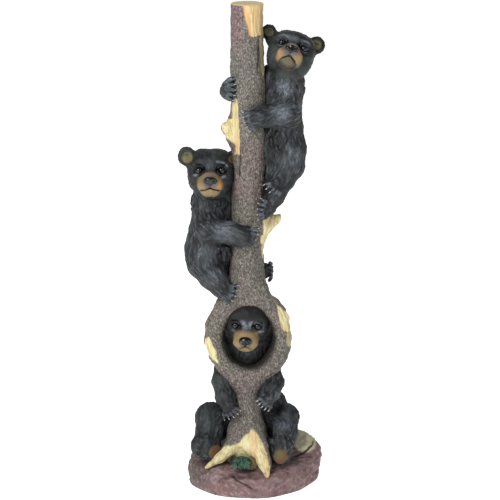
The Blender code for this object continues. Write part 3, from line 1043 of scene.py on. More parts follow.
    def grain_direction(self, points: np.ndarray) -> np.ndarray:
        """The run of the grain: up the stem, round the knothole and down the roots.

        Args:
            points: Places on the trunk.

        Returns:
            A unit direction for each place.
        """
        dx, dz = self.from_hole(points)
        reach = np.hypot(dx, dz)
        round_hole = np.stack([-dz * np.sign(dx + 1e-6), np.zeros(len(points)), np.abs(dx)], axis=1)
        near = ramp(np.abs(reach - 1.25), 0.9, 0.2)[:, None]
        up = np.tile(array(0, 0, 1.0), (len(points), 1))
        foot = ramp(points[:, 2], 78, 55)[:, None] * ramp(points[:, 1], -24, -32)[:, None]
        side = np.where(points[:, 0] < -8, 1.0, -0.45)
        down = np.stack([side * 1.3, np.full(len(points), 0.45), np.ones(len(points))], axis=1)
        return unit((up * (1 - near) + unit(round_hole) * near) * (1 - foot) + unit(down) * foot)

    def blush(self, points: np.ndarray) -> np.ndarray:
        """Where the bark is tinted pink: high on the left, half way up and below the knothole."""
        x, _, z = points.T
        cloud = 0.5 + Grain(26, 14).at(points)
        high = ramp(x, -6, -15) * ramp(z, 545, 568)
        middle = ramp(np.abs(z - 405), 48, 20) * 0.6
        low = ramp(np.abs(z - 120), 40, 20) * 0.35
        side = ramp(x, 4, 12) * ramp(np.abs(z - 325), 30, 15) * 0.4
        return np.clip(np.maximum(np.maximum(high, middle), np.maximum(low, side)) * cloud, 0, 1)

    def darkness(self, points: np.ndarray, bare: np.ndarray) -> np.ndarray:
        """Painted shade and shadow inside the knothole's lip, in cracks and under the roots' arch, and darker
        along the bare wood's edges.

        Args:
            points: Places on the trunk.
            bare: Where its bark has gone.

        Returns:
            A share from 0 to 1 for each place.
        """
        x, y, z = points.T
        reach = np.hypot(*self.from_hole(points))
        # Painted shadow inside the knothole's lip
        dark = ramp(reach + 0.1 * (Grain(31, 6).at(points) - 0.5), 1.16, 0.96) * 0.95
        edge = ramp(np.abs(bare - 0.35), 0.3, 0.05) * 0.3
        # The cracks are only painted: dark lines of painted shade
        high_crack = ramp(np.abs(x - 6.2 - 0.05 * (z - 545)), 1.3, 0.5)
        high_crack = high_crack * ramp(np.abs(z - 549), 24, 16) * ramp(y, -8, -12)
        low_crack = ramp(np.abs(x + 15.5 + 2 * (Grain(32, 8).at(points) - 0.5)), 1.2, 0.4)
        low_crack = low_crack * ramp(np.abs(z - 415), 22, 14) * ramp(y, -6, -10)
        cracks = np.maximum(high_crack, low_crack) * 0.8
        # Painted shadow under the roots' arch
        arch = ramp(z, 50, 44) * ramp(np.abs(x + 9), 24, 18) * ramp(y, -44, -38) * 0.9
        return np.maximum(np.maximum(dark, edge), np.maximum(cracks, arch))

    def build(self, finishes: Finishes) -> None:
        """Models and dresses the trunk in two pieces that meet without a seam."""
        for name, low, high, seam in (
            ("trunk_top", self.part_at - LAP, HEIGHT, self.part_at - LAP),
            ("trunk_foot", 6.0, self.part_at + LAP, self.part_at + LAP),
        ):
            clay = Clay((-72, -76, low - 4), (66, 34, high + 4), self.pitch)
            self.stem(clay)
            self.stubs(clay)
            self.roots(clay)
            self.ring(clay)
            clay.between(low, high)
            self.dress(clay, seam).build(name, finishes.bark, Slot.BARK)


@dataclass
class Rock:
    """The rock under it all: a slab that rises to the back, with mounds and chiselled sides."""

    half_width: float = 84
    half_depth: float = 76
    thickness: float = 24
    pitch: float = 1.45
    mounds: Sequence[tuple[Point, Point]] = (
        ((46, 30, 26), (36, 40, 30)), ((63, 20, 26), (23.5, 34, 22.5)), ((-48, 12, 16), (31, 44, 23)),
        ((0, 40, 18), (58, 32, 27)), ((-30, -26, 14), (38, 28, 18)), ((34, -30, 12), (30, 26, 18)),
    )

    def slab(self, axes: list[np.ndarray]) -> np.ndarray:
        """The slab's signed distance.

        Args:
            axes: Open coordinates.

        Returns:
            The distance at each sample, negative inside.
        """
        x, y, z = axes
        x = x - 1.5
        angle = np.arctan2(y, x)
        ripple = 0.975 + 0.012 * np.sin(3 * angle + 1) + 0.012 * np.sin(8 * angle)
        notch = 0.105 * np.exp(-(((angle + 0.5) / 0.5) ** 2))
        bulge = 0.02 * np.exp(-(((angle - 0.35) / 0.4) ** 2))
        ripple = ripple - notch + bulge
        taper = 1 - 0.05 * np.clip(z / 30, 0, 1)
        across = x / (self.half_width * ripple * taper)
        deep = y / (self.half_depth * ripple * taper)
        reach = np.sqrt(across ** 2 + deep ** 2)
        side = (reach - 1) * 0.5 * (self.half_width + self.half_depth)
        top = z - (self.thickness + 0.1 * (y + 60))
        near = np.clip(0.5 + 0.5 * (side - top) / 4.0, 0, 1)
        return side * near + top * (1 - near) + 4.0 * near * (1 - near)

    def dress(self, skin: Skin) -> None:
        """Chisels the rock and marks its colours."""
        normals = skin.normals()
        points = skin.points.copy()
        x, y, z = points.T
        slant = np.stack([x + 0.6 * z, y, z * 1.7 - 0.25 * x], axis=1)
        facets = np.abs(Grain(41, 15).at(slant) - 0.5) * 2
        chips = np.abs(Grain(42, 6).at(slant) - 0.5) * 2
        tilt = np.where(x < 10, -0.5, 0.55) + 0.8 * (Grain(46, 22).at(points) - 0.5)
        lie = unit(np.stack([np.ones(len(points)), np.full(len(points), 0.2), tilt], axis=1))
        scratch = Grain(43, 2.2).tooling(points, lie, 24, 0.36)
        height = (0.45 - facets) * 3.6 + (0.5 - chips) * 1.6 + (scratch - 0.5) * 1.1
        crack = self.crack(points)
        height -= crack * 1.6
        base = ramp(z, 0.3, 5)
        skin.points += normals * (height * base)[:, None]
        skin.points[:, 2] = np.maximum(skin.points[:, 2], 0)
        ledge = ramp(np.hypot((x - 69) / 15, (z - 48) / 9), 1.15, 0.9) * ramp(normals[:, 2], 0.25, 0.6)
        # The crack's share is painted shade; the shade value darkens the left side
        skin.values = {
            "ridge": scratch * 0.7 + (1 - facets) * 0.3, "painted_shade": crack,
            "shade": ramp(x + 10 * (Grain(44, 18).at(points) - 0.5), -44, -70) * 0.7,
            "cream": ledge,
        }

    def crack(self, points: np.ndarray) -> np.ndarray:
        """The diagonal crack across the front and a line beneath the cream ledge."""
        x, y, z = points.T
        wander = 1.4 * (Grain(45, 5).at(points) - 0.5)
        line = np.abs(z - (27 - 0.52 * (x + 29)) + wander)
        split = ramp(line, 1.5, 0.5) * ramp(np.abs(x + 15), 17, 13) * ramp(y, -50, -60)
        under = np.abs(z - (36 + 0.40 * (x - 56)) + wander)
        shelf = ramp(under, 1.5, 0.5) * ramp(np.abs(x - 66), 17, 13) * ramp(y, 30, 15)
        return np.maximum(split, shelf)

    def build(self, finishes: Finishes) -> None:
        """Models the rock."""
        reach = (self.half_width + 6, self.half_depth + 4)
        clay = Clay((-reach[0], -reach[1], -4), (reach[0] + 3, reach[1], 66), self.pitch)
        clay.melt(array(-reach[0], -reach[1], -4), array(reach[0], reach[1], 66), 0, False, self.slab)
        for centre, radii in self.mounds:
            clay.egg(centre, radii, blend=9)
        clay.between(0.0, 90)
        skin = clay.skin()
        skin.relax(2)
        self.dress(skin)
        skin.build("rock", finishes.rock, Slot.ROCK)


@dataclass
class Head:
    """A cub's head. Its shares are of half the face's width, and its nose points to -Y."""

    centre: tuple[float, float, float]
    yaw: float = 0
    pitch: float = 0
    roll: float = 0
    ears: Sequence[tuple[float, float, float]] = ((-1.0, 0.68, 1.0), (1.0, 0.68, 1.0))
    lip_line: tuple[float, float, float] = (-0.72, 0.06, 0.42)
    smoke: tuple[float, float, float, float] = (0, -0.42, 0.34, 0.37)
    half_width: float = 29.5
    chin_dark: float = 0.2
    # How strong the painted highlight on the lids round the eyes is
    lid_highlight: float = 0.35
    glows: Sequence[tuple[float, float, float, float, float]] = ()
    # Daubs of painted highlight on the face: middle across and up, width, height and strength
    lights: Sequence[tuple[float, float, float, float, float]] = ()
    eye: tuple[float, float, float] = (0.47, -0.72, 0.06)
    eye_radius: float = 0.145
    nose: tuple[float, float, float] = (0, -1.30, -0.36)

    def __post_init__(self) -> None:
        """Works out the head's turn."""
        self.turn = turned(self.yaw, self.pitch, self.roll)

    def at(self, x: float, y: float, z: float) -> np.ndarray:
        """A place on the head, in steps."""
        return np.array(self.centre) + self.turn @ (array(x, y, z) * self.half_width)

    def shares(self, points: np.ndarray) -> np.ndarray:
        """Places in steps as places on the head."""
        return (points - np.array(self.centre)) @ self.turn / self.half_width

    def lump(self, clay: Clay, x: float, y: float, z: float, radii: Point,
             blend: float = 0.16, carve: bool = False) -> None:
        """An egg of clay on the head, or one carved out of it."""
        size = [r * self.half_width for r in radii]
        clay.egg(self.at(x, y, z), size, self.turn, blend * self.half_width, carve)

    def roll_of(self, clay: Clay, rows: Rows, blend: float = 0.1, carve: bool = False) -> None:
        """A limb of clay through places and radii on the head."""
        clay.limb([(self.at(x, y, z), r * self.half_width) for x, y, z, r in rows],
                  blend * self.half_width, carve)

    def skull(self, clay: Clay) -> None:
        """The skull, cheeks, forehead and muzzle."""
        self.lump(clay, 0, 0.10, 0.08, (0.96, 0.90, 0.88))
        self.lump(clay, 0, -0.40, 0.40, (0.50, 0.42, 0.40), 0.25)
        for side in (-1, 1):
            self.lump(clay, side * 0.38, 0.10, 0.36, (0.54, 0.72, 0.60), 0.2)
            self.lump(clay, side * 0.45, -0.05, -0.30, (0.49, 0.62, 0.60), 0.2)
            self.roll_of(clay, (
                (side * 0.26, -0.58, 0.44, 0.11), (side * 0.50, -0.56, 0.40, 0.10),
                (side * 0.72, -0.40, 0.20, 0.10),
            ), 0.25)
            self.roll_of(clay, ((side * 0.38, -0.62, -0.22, 0.15), (side * 0.68, -0.46, -0.12, 0.16)), 0.25)
        self.roll_of(clay, ((0, -0.48, -0.02, 0.38), (0, -0.92, -0.32, 0.34)), 0.16)
        self.lump(clay, 0, -0.84, -0.54, (0.52, 0.44, 0.40), 0.14)

    def mouth(self, clay: Clay) -> None:
        """The lips, the frowning mouth and the chin."""
        self.lump(clay, 0, -0.76, -0.82, (0.40, 0.44, 0.24), 0.16)
        for side in (-1, 1):
            self.lump(clay, side * 0.21, -1.02, -0.56, (0.32, 0.34, 0.26), 0.10)
        self.roll_of(clay, ((0, -1.36, -0.50, 0.02), (0, -1.26, -0.68, 0.03)), 0.05, True)
        middle = self.at(0, -1.0, -0.78)
        reach = 0.62 * self.half_width
        clay.melt(middle - reach, middle + reach, 0.05 * self.half_width, True, self.slit)

    def lips(self, x: np.ndarray) -> np.ndarray:
        """How high the mouth's line lies at a place across the face: it frowns."""
        height, drop, half = self.lip_line
        return height - drop * (np.abs(x) / half) ** 1.6 + 0.05 * np.exp(-((x / 0.1) ** 2))

    def slit(self, axes: list[np.ndarray]) -> np.ndarray:
        """The mouth's signed distance: a thin frowning cut into the front of the muzzle.

        Args:
            axes: Open coordinates.

        Returns:
            The distance at each sample, negative inside.
        """
        x, y, z = (
            sum((axes[k] - self.centre[k]) * self.turn[k, i] for k in range(3)) / self.half_width
            for i in range(3)
        )
        gap = np.abs(z - self.lips(x)) - 0.018
        back = y + 1.14 - 0.9 * x * x
        return np.maximum(np.maximum(gap, np.abs(x) - self.lip_line[2]), back) * self.half_width

    def socket(self, clay: Clay, side: int) -> None:
        """An eye's socket with its two lids."""
        x, y, z = self.eye
        x = x * side
        r = self.eye_radius
        tilt = math.radians(14)
        self.lump(clay, x, y - 0.04, z, (r * 1.6, r * 1.2, r * 1.5), 0.16, True)
        for low, high, thick, lift in ((5, 175, 0.032, 0.03), (190, 350, 0.028, -0.02)):
            lid = []
            for i in range(7):
                angle = math.radians(low + (high - low) * i / 6)
                outer = math.cos(angle) * side
                out = outer * r * 1.22 * math.cos(tilt) + math.sin(angle) * r * math.sin(tilt)
                up = math.sin(angle) * r * 1.08 * math.cos(tilt) - outer * r * 1.1 * math.sin(tilt) + lift
                back = 0.30 * abs(outer) + 0.30 * outer
                lid.append((x + side * out, y - 0.045 + back * r, z + up, thick))
            self.roll_of(clay, lid, 0.05)

    def ear(self, clay: Clay, side: int) -> None:
        """A round ear with a cup and a rolled rim."""
        x, z, size = self.ears[max(side, 0)]
        y = 0.10
        self.lump(clay, x * 0.8, 0.14, z - 0.20, (0.30, 0.24, 0.36), 0.14)
        self.lump(clay, x, y, z, (0.37 * size, 0.18, 0.40 * size), 0.08)
        self.lump(clay, x * 0.98, y - 0.20, z - 0.02, (0.24 * size, 0.16, 0.27 * size), 0.06, True)
        for i in range(4):
            lean = (i - 1.5) * 0.07
            self.roll_of(clay, (
                (x + lean * side - side * 0.06, y - 0.05, z - 0.20, 0.05),
                (x + lean * 1.5 * side, y - 0.07, z, 0.02),
            ), 0.07)

    def model(self, clay: Clay) -> None:
        """Presses the whole head into clay."""
        self.skull(clay)
        self.mouth(clay)
        for side in (-1, 1):
            self.socket(clay, side)
            self.ear(clay, side)

    def lie(self, points: np.ndarray) -> tuple[np.ndarray, np.ndarray]:
        """The lie of the head's fur.

        Args:
            points: Places in steps.

        Returns:
            A direction for each place, and how far it belongs to the head.
        """
        q = self.shares(points)
        away = q - array(0, -1.25, -0.30)
        local = unit(unit(away) + array(0, 0.15, -0.25) * ramp(q[:, 2], 0.2, -0.8)[:, None])
        weight = ramp(np.linalg.norm(q * array(0.95, 0.9, 0.9), axis=1), 1.35, 0.95)
        weight = np.maximum(weight, ramp(q[:, 2], -0.9, -0.4) * ramp(q[:, 1], 0.9, 0.4))
        return local @ self.turn.T, weight

    def marks(self, points: np.ndarray) -> dict[str, np.ndarray]:
        """The painted marks on the face, with painted highlights on brows, cheeks and lids and painted shade
        in the eye sockets and mouth.

        Args:
            points: Places in steps.

        Returns:
            Shares from 0 to 1 under the names of the skin's values.
        """
        x, y, z = self.shares(points).T
        soft = 0.09 * (Grain(51, 4).at(points) - 0.5)
        fore = ramp(y, -0.42, -0.62)
        below = ramp(z - self.lips(x), 0.02, -0.05)
        snout = np.hypot(x / 0.56, (z + 0.52) / 0.54) + soft
        muzzle = ramp(snout, 1.08, 0.86) * fore
        chin = muzzle * below * self.chin_dark
        muzzle = muzzle * (1 - below * self.chin_dark * ramp(np.hypot(x / 0.34, (z + 0.86) / 0.22), 0.5, 1.2))
        cx, cz, wide, tall = self.smoke
        smoke = ramp(np.hypot((x - cx) / wide, (z - cz) / tall) + soft, 1.25, 0.6) * (1 - below)
        smoke = np.maximum(smoke, ramp(z, -0.20, 0.02) * 0.8)
        ear = np.zeros(len(points))
        for cx, cz, size in self.ears:
            cup = np.hypot((x - cx * 0.98) / (0.25 * size), (z - cz + 0.06) / (0.26 * size))
            ear = np.maximum(ear, ramp(cup, 1.05, 0.7) * ramp(y, 0.08, 0.0))
        # Lights are daubs of painted highlight; glows are orange paint on the muzzle
        tints = []
        for spots in (self.lights, self.glows):
            tint = np.zeros(len(points))
            for cx, cz, wide, tall, strength in spots:
                spot = np.hypot((x - cx) / wide, (z - cz) / tall) + 2 * soft
                tint = np.maximum(tint, ramp(spot, 1.3, 0.3) * strength * fore)
            tints.append(tint)
        light, glow = tints
        # Painted highlight on the lids round each eye, and painted shade in the eye sockets that joins the
        # mouth's line
        eye = np.hypot(np.abs(x) - self.eye[0], z - self.eye[2]) / self.eye_radius
        light = np.maximum(light, ramp(np.abs(eye - 1.3), 0.32, 0.1) * self.lid_highlight * fore)
        socket = ramp(eye, 2.0, 1.2) * (1 - light) * 0.9 * fore
        line = ramp(np.abs(z - self.lips(x)), 0.045, 0.012) * ramp(np.abs(x), 1.05, 0.95, self.lip_line[2])
        line = np.maximum(line * ramp(y, -0.7, -0.8), socket)
        return {
            "muzzle": muzzle, "smoke": smoke, "orange": glow, "olive": ear, "chin": chin,
            "light": light * (1 - muzzle), "mouth": line,
            "face": ramp(np.hypot(x / 0.9, (z + 0.05) / 0.7), 1.2, 0.8) * fore,
        }

    def eyes(self) -> Skin:
        """Both eyeballs as one skin."""
        skins = [
            ball(self.at(self.eye[0] * side, self.eye[1], self.eye[2]), self.eye_radius * self.half_width)
            for side in (-1, 1)
        ]
        return joined(skins)

    def leather(self) -> Skin:
        """The nose's black leather with nostrils and the groove between them."""
        x, y, z = self.nose
        reach = 0.5 * self.half_width
        middle = self.at(x, y, z)
        clay = Clay(middle - reach, middle + reach, 0.42)
        self.lump(clay, x, y, z + 0.04, (0.25, 0.17, 0.12), 0.04)
        self.lump(clay, x, y + 0.02, z - 0.10, (0.13, 0.13, 0.12), 0.08)
        for side in (-1, 1):
            self.lump(clay, side * 0.14, y - 0.01, z - 0.03, (0.13, 0.13, 0.11), 0.06)
        for side in (-1, 1):
            self.roll_of(clay, (
                (side * 0.09, y - 0.19, z - 0.03, 0.045), (side * 0.19, y - 0.11, z + 0.0, 0.03),
            ), 0.03, True)
        self.roll_of(clay, ((0, y - 0.19, z + 0.02, 0.014), (0, y - 0.16, z - 0.2, 0.018)), 0.03, True)
        skin = clay.skin()
        skin.relax(3)
        skin.points += skin.normals() * ((Grain(52, 0.9).at(skin.points) - 0.5) * 0.16)[:, None]
        return skin


def ball(centre: np.ndarray, radius: float, rings: int = 18, spokes: int = 32) -> Skin:
    """A ball of rings and spokes, its poles closed by thin rows of faces.

    Args:
        centre: The ball's middle.
        radius: Its radius.
        rings: Rows of faces from pole to pole.
        spokes: Faces round it.

    Returns:
        The ball's skin.
    """
    lat = np.linspace(0.02, math.pi - 0.02, rings + 1)[:, None]
    lon = np.arange(spokes)[None, :] * math.tau / spokes
    shell = np.stack([
        np.sin(lat) * np.cos(lon), np.sin(lat) * np.sin(lon), np.cos(lat) + 0 * lon
    ], axis=-1)
    return Skin(centre + radius * shell.reshape(-1, 3), tube_faces(rings + 1, spokes))


def tube_faces(rings: int, spokes: int) -> np.ndarray:
    """The faces of a tube of rings of points, closed at both ends by folded faces.

    Args:
        rings: Rows of points.
        spokes: Points in a row.

    Returns:
        Four point numbers for each face.
    """
    i, j = np.meshgrid(np.arange(rings - 1), np.arange(spokes), indexing="ij")
    ahead = (j + 1) % spokes
    walls = np.stack([
        i * spokes + j, (i + 1) * spokes + j, (i + 1) * spokes + ahead, i * spokes + ahead
    ], axis=-1).reshape(-1, 4)
    half = spokes // 2
    k = np.arange(half - 1)
    cap = np.stack([k, k + 1, spokes - 2 - k, spokes - 1 - k], axis=-1)
    last = (rings - 1) * spokes
    return np.concatenate([walls, cap, last + cap[:, ::-1]])


def joined(skins: Sequence[Skin]) -> Skin:
    """Several skins as one.

    Args:
        skins: Skins that carry the same values.

    Returns:
        One skin with all their points, faces and values.
    """
    starts = np.cumsum([0] + [len(skin.points) for skin in skins[:-1]])
    return Skin(
        np.concatenate([skin.points for skin in skins]),
        np.concatenate([skin.faces + start for skin, start in zip(skins, starts)]),
        {key: np.concatenate([skin.values[key] for skin in skins]) for key in skins[0].values},
    )


def horn(root: np.ndarray, bend: np.ndarray, tip: np.ndarray, thick: float, shine: float = 1,
         rings: int = 9, spokes: int = 10) -> Skin:
    """A curved claw that tapers from its root to its tip.

    Args:
        root: Where it leaves the toe.
        bend: The point that pulls its curve.
        tip: Its end.
        thick: Its radius at the root.
        shine: How bright the painted highlight along its back is.
        rings: Rows of points along it.
        spokes: Points round it.

    Returns:
        The claw's skin.
    """
    t = np.linspace(0, 1, rings)[:, None]
    spine = (1 - t) ** 2 * root + 2 * t * (1 - t) * bend + t ** 2 * tip
    ahead = unit(np.gradient(spine, axis=0))
    side = unit(np.cross(ahead, unit(tip - bend + array(0.01, 0.02, 0.03)) + unit(root - bend)) + 1e-6)
    over = np.cross(ahead, side)
    size = thick * np.sqrt(np.clip(1 - t ** 2.2, 0.004, 1))
    angle = np.arange(spokes) * math.tau / spokes
    shell = spine[:, None] + size[:, None] * (
        np.cos(angle)[None, :, None] * side[:, None] * 0.8 + np.sin(angle)[None, :, None] * over[:, None]
    )
    # The painted highlight along the claw's outer back, carried as its ridge value
    outward = unit(bend - (root + tip) / 2)
    back = ramp((shell - spine[:, None]) @ outward / size, 0.3, 0.95).reshape(-1) * shine
    return Skin(shell.reshape(-1, 3), tube_faces(rings, spokes)[:, ::-1], {"ridge": back})


@dataclass
class Paw:
    """A paw: a palm, long toes that fan out over it, and claws that bend to the grip."""

    palm: Point
    size: float
    forward: Point
    grip: Point
    claw: float = 5.5
    fan: float = 10
    shine: float = 0.6

    def toes(self) -> list[list[np.ndarray]]:
        """Each toe's root, knuckle and tip, and its claw's bend and tip."""
        ahead, across, grip = squared(self.forward, self.grip)
        found = []
        for place in range(-2, 3):
            angle = math.radians(self.fan * place)
            way = ahead * math.cos(angle) + across * math.sin(angle)
            root = np.asarray(self.palm) + (across * 0.20 * place - ahead * 0.45 - grip * 0.30) * self.size
            tip = np.asarray(self.palm) + (across * 0.42 * place - grip * 0.20) * self.size
            tip = tip + way * self.size * (0.66 - 0.045 * place * place)
            knuckle = root * 0.35 + tip * 0.65 - grip * self.size * 0.24
            bend = tip + (way * 0.75 - grip * 0.35) * self.claw * 0.6
            point = bend + (way * 0.45 + grip * 0.85) * self.claw * 0.55
            found.append([root, knuckle, tip, bend, point])
        return found

    def model(self, clay: Clay) -> None:
        """Presses the palm and toes into clay."""
        ahead, across, grip = squared(self.forward, self.grip)
        turn = np.stack([across, ahead, grip], axis=1)
        middle = np.asarray(self.palm) - ahead * self.size * 0.12 + grip * self.size * 0.08
        clay.egg(middle, array(0.80, 0.72, 0.46) * self.size, turn, 4.0)
        for root, knuckle, tip, _, _ in self.toes():
            clay.limb([(root, 0.14 * self.size), (knuckle, 0.195 * self.size), (tip, 0.185 * self.size)], 0.4)

    def claws(self) -> list[Skin]:
        """The paw's claws."""
        return [
            horn(tip, bend, point, self.claw * 0.21, self.shine) for _, _, tip, bend, point in self.toes()
        ]


@dataclass
class Sole:
    """A sitting cub's foot, its sole to the front, toes up, with a heel pad and claws."""

    centre: Point
    yaw: float
    pitch: float
    roll: float
    size: float
    claw: float = 5.0
    shine: float = 0.3
    pad_middle: tuple[float, float] = (-57, 50)
    heel: tuple[float, float] = (-0.05, -0.38)

    def __post_init__(self) -> None:
        """Works out the foot's turn."""
        self.turn = turned(self.yaw, self.pitch, self.roll)

    def at(self, x: float, y: float, z: float) -> np.ndarray:
        """A place on the foot, in steps."""
        return np.asarray(self.centre) + self.turn @ (array(x, y, z) * self.size)

    def model(self, clay: Clay) -> None:
        """Presses the foot into clay."""
        clay.egg(self.centre, array(0.88, 0.72, 1.12) * self.size, self.turn, 5)
        x, z = self.heel
        stretches = 16
        rim = []
        for i in range(stretches + 1):
            angle = math.tau * i / stretches
            place = self.at(x + 0.50 * math.cos(angle), -0.60, z + 0.56 * math.sin(angle))
            rim.append((place, 0.085 * self.size))
        clay.limb(rim, 1.2)
        clay.egg(self.at(x, -0.56, z), array(0.42, 0.16, 0.48) * self.size, self.turn, 1.2)
        for place in range(-2, 3):
            toe = self.at(place * 0.36, -0.30, 0.92 - 0.07 * place * place)
            back = self.at(place * 0.26, -0.34, 0.42)
            clay.limb([(back, 0.20 * self.size), (toe, 0.27 * self.size)], 0.9)

    def pad(self, points: np.ndarray) -> tuple[np.ndarray, np.ndarray]:
        """Where the heel pad and its rim are.

        Args:
            points: Places on the cub.

        Returns:
            Two shares from 0 to 1 for each place.
        """
        q = (points - np.asarray(self.centre)) @ self.turn / self.size
        x, z = self.heel
        reach = np.hypot((q[:, 0] - x) / 0.56, (q[:, 2] - z) / 0.62)
        middle = np.hypot(points[:, 0] - self.pad_middle[0], points[:, 2] - self.pad_middle[1])
        facing = ramp(q[:, 1], -0.30, -0.45)
        here = ramp(reach, 1.10, 0.72) * facing
        return here, ramp(middle, 3.0, 7.5) * here

    def claws(self) -> list[Skin]:
        """The foot's claws, over the tips of its toes."""
        found = []
        for place in range(-2, 3):
            root = self.at(place * 0.37, -0.42, 1.10 - 0.07 * place * place)
            bend = self.at(place * 0.39, -0.66, 1.28 - 0.08 * place * place)
            tip = self.at(place * 0.41, -0.86, 1.04 - 0.08 * place * place)
            found.append(horn(root, bend, tip, self.claw * 0.22, self.shine))
        return found


@dataclass
class Cub:
    """One cub: its head, soft masses that its fur follows, paws, feet and neck locks."""

    name: str
    head: Head
    limbs: list[list[tuple[np.ndarray, float]]]
    paws: list[Paw]
    neck: tuple[Point, Point, float, float, int]
    cut: float
    low: Point
    high: Point
    soles: list[Sole] = field(default_factory=list)
    lumps: list[tuple[Point, Point]] = field(default_factory=list)
    # Daubs of painted highlight in lights and of painted shade in shades: middle, reach and strength
    lights: list[tuple[Point, float, float]] = field(default_factory=list)
    shades: list[tuple[Point, float, float]] = field(default_factory=list)
    tufts: list[tuple[Point, Point, float, float, int]] = field(default_factory=list)
    shadow: tuple[Point, float, float] | None = None
    ease: float = 1.3
    pitch: float = 1.02
    head_pitch: float = 0.73

    def model(self, clay: Clay) -> None:
        """Presses the whole cub into clay."""
        for limb in self.limbs:
            clay.limb(limb, 7, fur=True)
        for centre, radii in self.lumps:
            clay.egg(centre, radii, blend=6)
        clay.ease(self.ease)
        self.head.model(clay)
        for paw in self.paws:
            paw.model(clay)
        for sole in self.soles:
            sole.model(clay)
        for centre, radii, start, end, count in (self.neck, *self.tufts):
            self.locks(clay, centre, radii, start, end, count)

    @staticmethod
    def locks(clay: Clay, centre: Point, radii: Point, start: float, end: float, tiers: int) -> None:
        """Rows of fur locks round an upright mass.

        Args:
            clay: Where they are pressed in.
            centre: The mass's middle at the first row's height.
            radii: Its reach to the side and to the front.
            start: The first lock's bearing, where 0 is the right side and 90 the front.
            end: The last lock's bearing.
            tiers: How many rows there are.
        """
        for row in range(tiers):
            count = max(3, int(abs(end - start) / 12)) - row % 2
            for i in range(count):
                bearing = start + (end - start) * (i + 0.5 * (row % 2)) / (count - 1)
                angle = math.radians(bearing)
                out = array(math.cos(angle), -math.sin(angle), 0)
                reach = out * array(*radii, 0) * (1 - 0.05 * (row % 2))
                root = array(*centre) + reach + array(0, 0, 5 * math.sin(3.1 * i) - 9 * row)
                sway = array(2.8 * math.cos(5.3 * i + row), 0, -11 * (1 + 0.35 * math.sin(2.4 * i)))
                middle = root + sway * 0.5 + out * 1.8
                tip = root + sway + out * 1.4
                clay.limb([(root, 3.0), (middle, 2.6), (tip, 0.7)], 1.2)

    @staticmethod
    def daubed(points: np.ndarray, daubs: Sequence[tuple[Point, float, float]], full: float) -> np.ndarray:
        """The strongest of some soft round daubs at each place, used for painted shade and painted
        highlights.

        Args:
            points: Places on the cub.
            daubs: Each one's middle, reach and strength.
            full: The share of its reach within which a daub is at its strongest.

        Returns:
            A share from 0 to 1 for each place.
        """
        total = np.zeros(len(points))
        for centre, reach, strength in daubs:
            spot = np.linalg.norm(points - array(*centre), axis=1) / reach
            total = np.maximum(total, ramp(spot, 1.2, full) * strength)
        return total

    def dress(self, clay: Clay, seam: float) -> Skin:
        """Cuts the fur into the skin and marks its colours.

        Args:
            clay: The modelled piece.
            seam: The height of its hidden edge, which is tucked under the other piece.

        Returns:
            The dressed skin.
        """
        skin = clay.skin()
        skin.relax(1, 0.4)
        normals = clay.normals(skin.points)
        points = skin.points.copy()
        head_lie, head_share = self.head.lie(points)
        lie = unit(clay.flow(points)) * (1 - head_share[:, None]) + head_lie * head_share[:, None]
        swirl = Grain(61, 9)
        stray = np.stack([swirl.at(points + 31.0 * i) - 0.5 for i in range(3)], axis=1)
        lie = laid_flat(lie + stray * 0.9, normals)
        fine = Grain(62, 1.25).tooling(points, lie, 6.5, 0.33)
        clump = Grain(63, 2.8).tooling(points, lie, 12, 0.33)
        marks = self.head.marks(points)
        pad = np.zeros(len(points))
        pad_rim = np.zeros(len(points))
        for sole in self.soles:
            here, rim = sole.pad(points)
            pad = np.maximum(pad, here)
            pad_rim = np.maximum(pad_rim, rim)
        calm = (1 - 0.30 * head_share) * (1 - 0.6 * marks.pop("face")) - 0.15 * marks["muzzle"]
        calm = np.clip(calm * (1 - 0.95 * pad) * (1 - 0.5 * marks["olive"]), 0.04, 1)
        # Painted shade: darker in hollows of the form, the mouth's line and eye sockets, the knothole's
        # shadow and the shade daubs
        painted_shade = ramp(np.clip(1 - clay.read(points + normals * 3.2) / 3.2, 0, 1), 0.4, 0.95)
        painted_shade = np.maximum(painted_shade * (1 - 0.7 * marks["muzzle"]), marks.pop("mouth"))
        if self.shadow:
            middle, inner, outer = self.shadow
            reach = np.hypot(points[:, 0] - middle[0], (points[:, 2] - middle[2]) * 0.85)
            above = ramp(points[:, 2], middle[2] - 52, middle[2] - 40)
            painted_shade = np.maximum(painted_shade, ramp(reach, inner, outer) * above)
        painted_shade = np.maximum(painted_shade, self.daubed(points, self.shades, 0.3))
        # Painted highlights: the light daubs on the body and on the backs of the toes
        marks["light"] = np.maximum(marks["light"], self.daubed(points, self.lights, 0.2))
        for paw in self.paws:
            for _, knuckle, tip, _, _ in paw.toes():
                spot = np.linalg.norm(points - (knuckle + tip) / 2 + np.asarray(paw.grip) * 2, axis=1)
                marks["light"] = np.maximum(marks["light"], ramp(spot / paw.size, 0.42, 0.16) * 0.22)
        relief = ((fine - 0.62) * 0.75 + (clump - 0.5) * 0.85) * calm
        relief -= tuck(points[:, 2], seam)
        skin.points += normals * relief[:, None]
        skin.points[:, 2] = np.maximum(skin.points[:, 2], 1.0)
        skin.values = {
            "ridge": np.clip(0.62 * fine + 0.38 * clump, 0, 1) * (1 - 0.35 * head_share),
            "pad": pad, "pad_rim": pad_rim, "painted_shade": painted_shade, **marks,
        }
        return skin

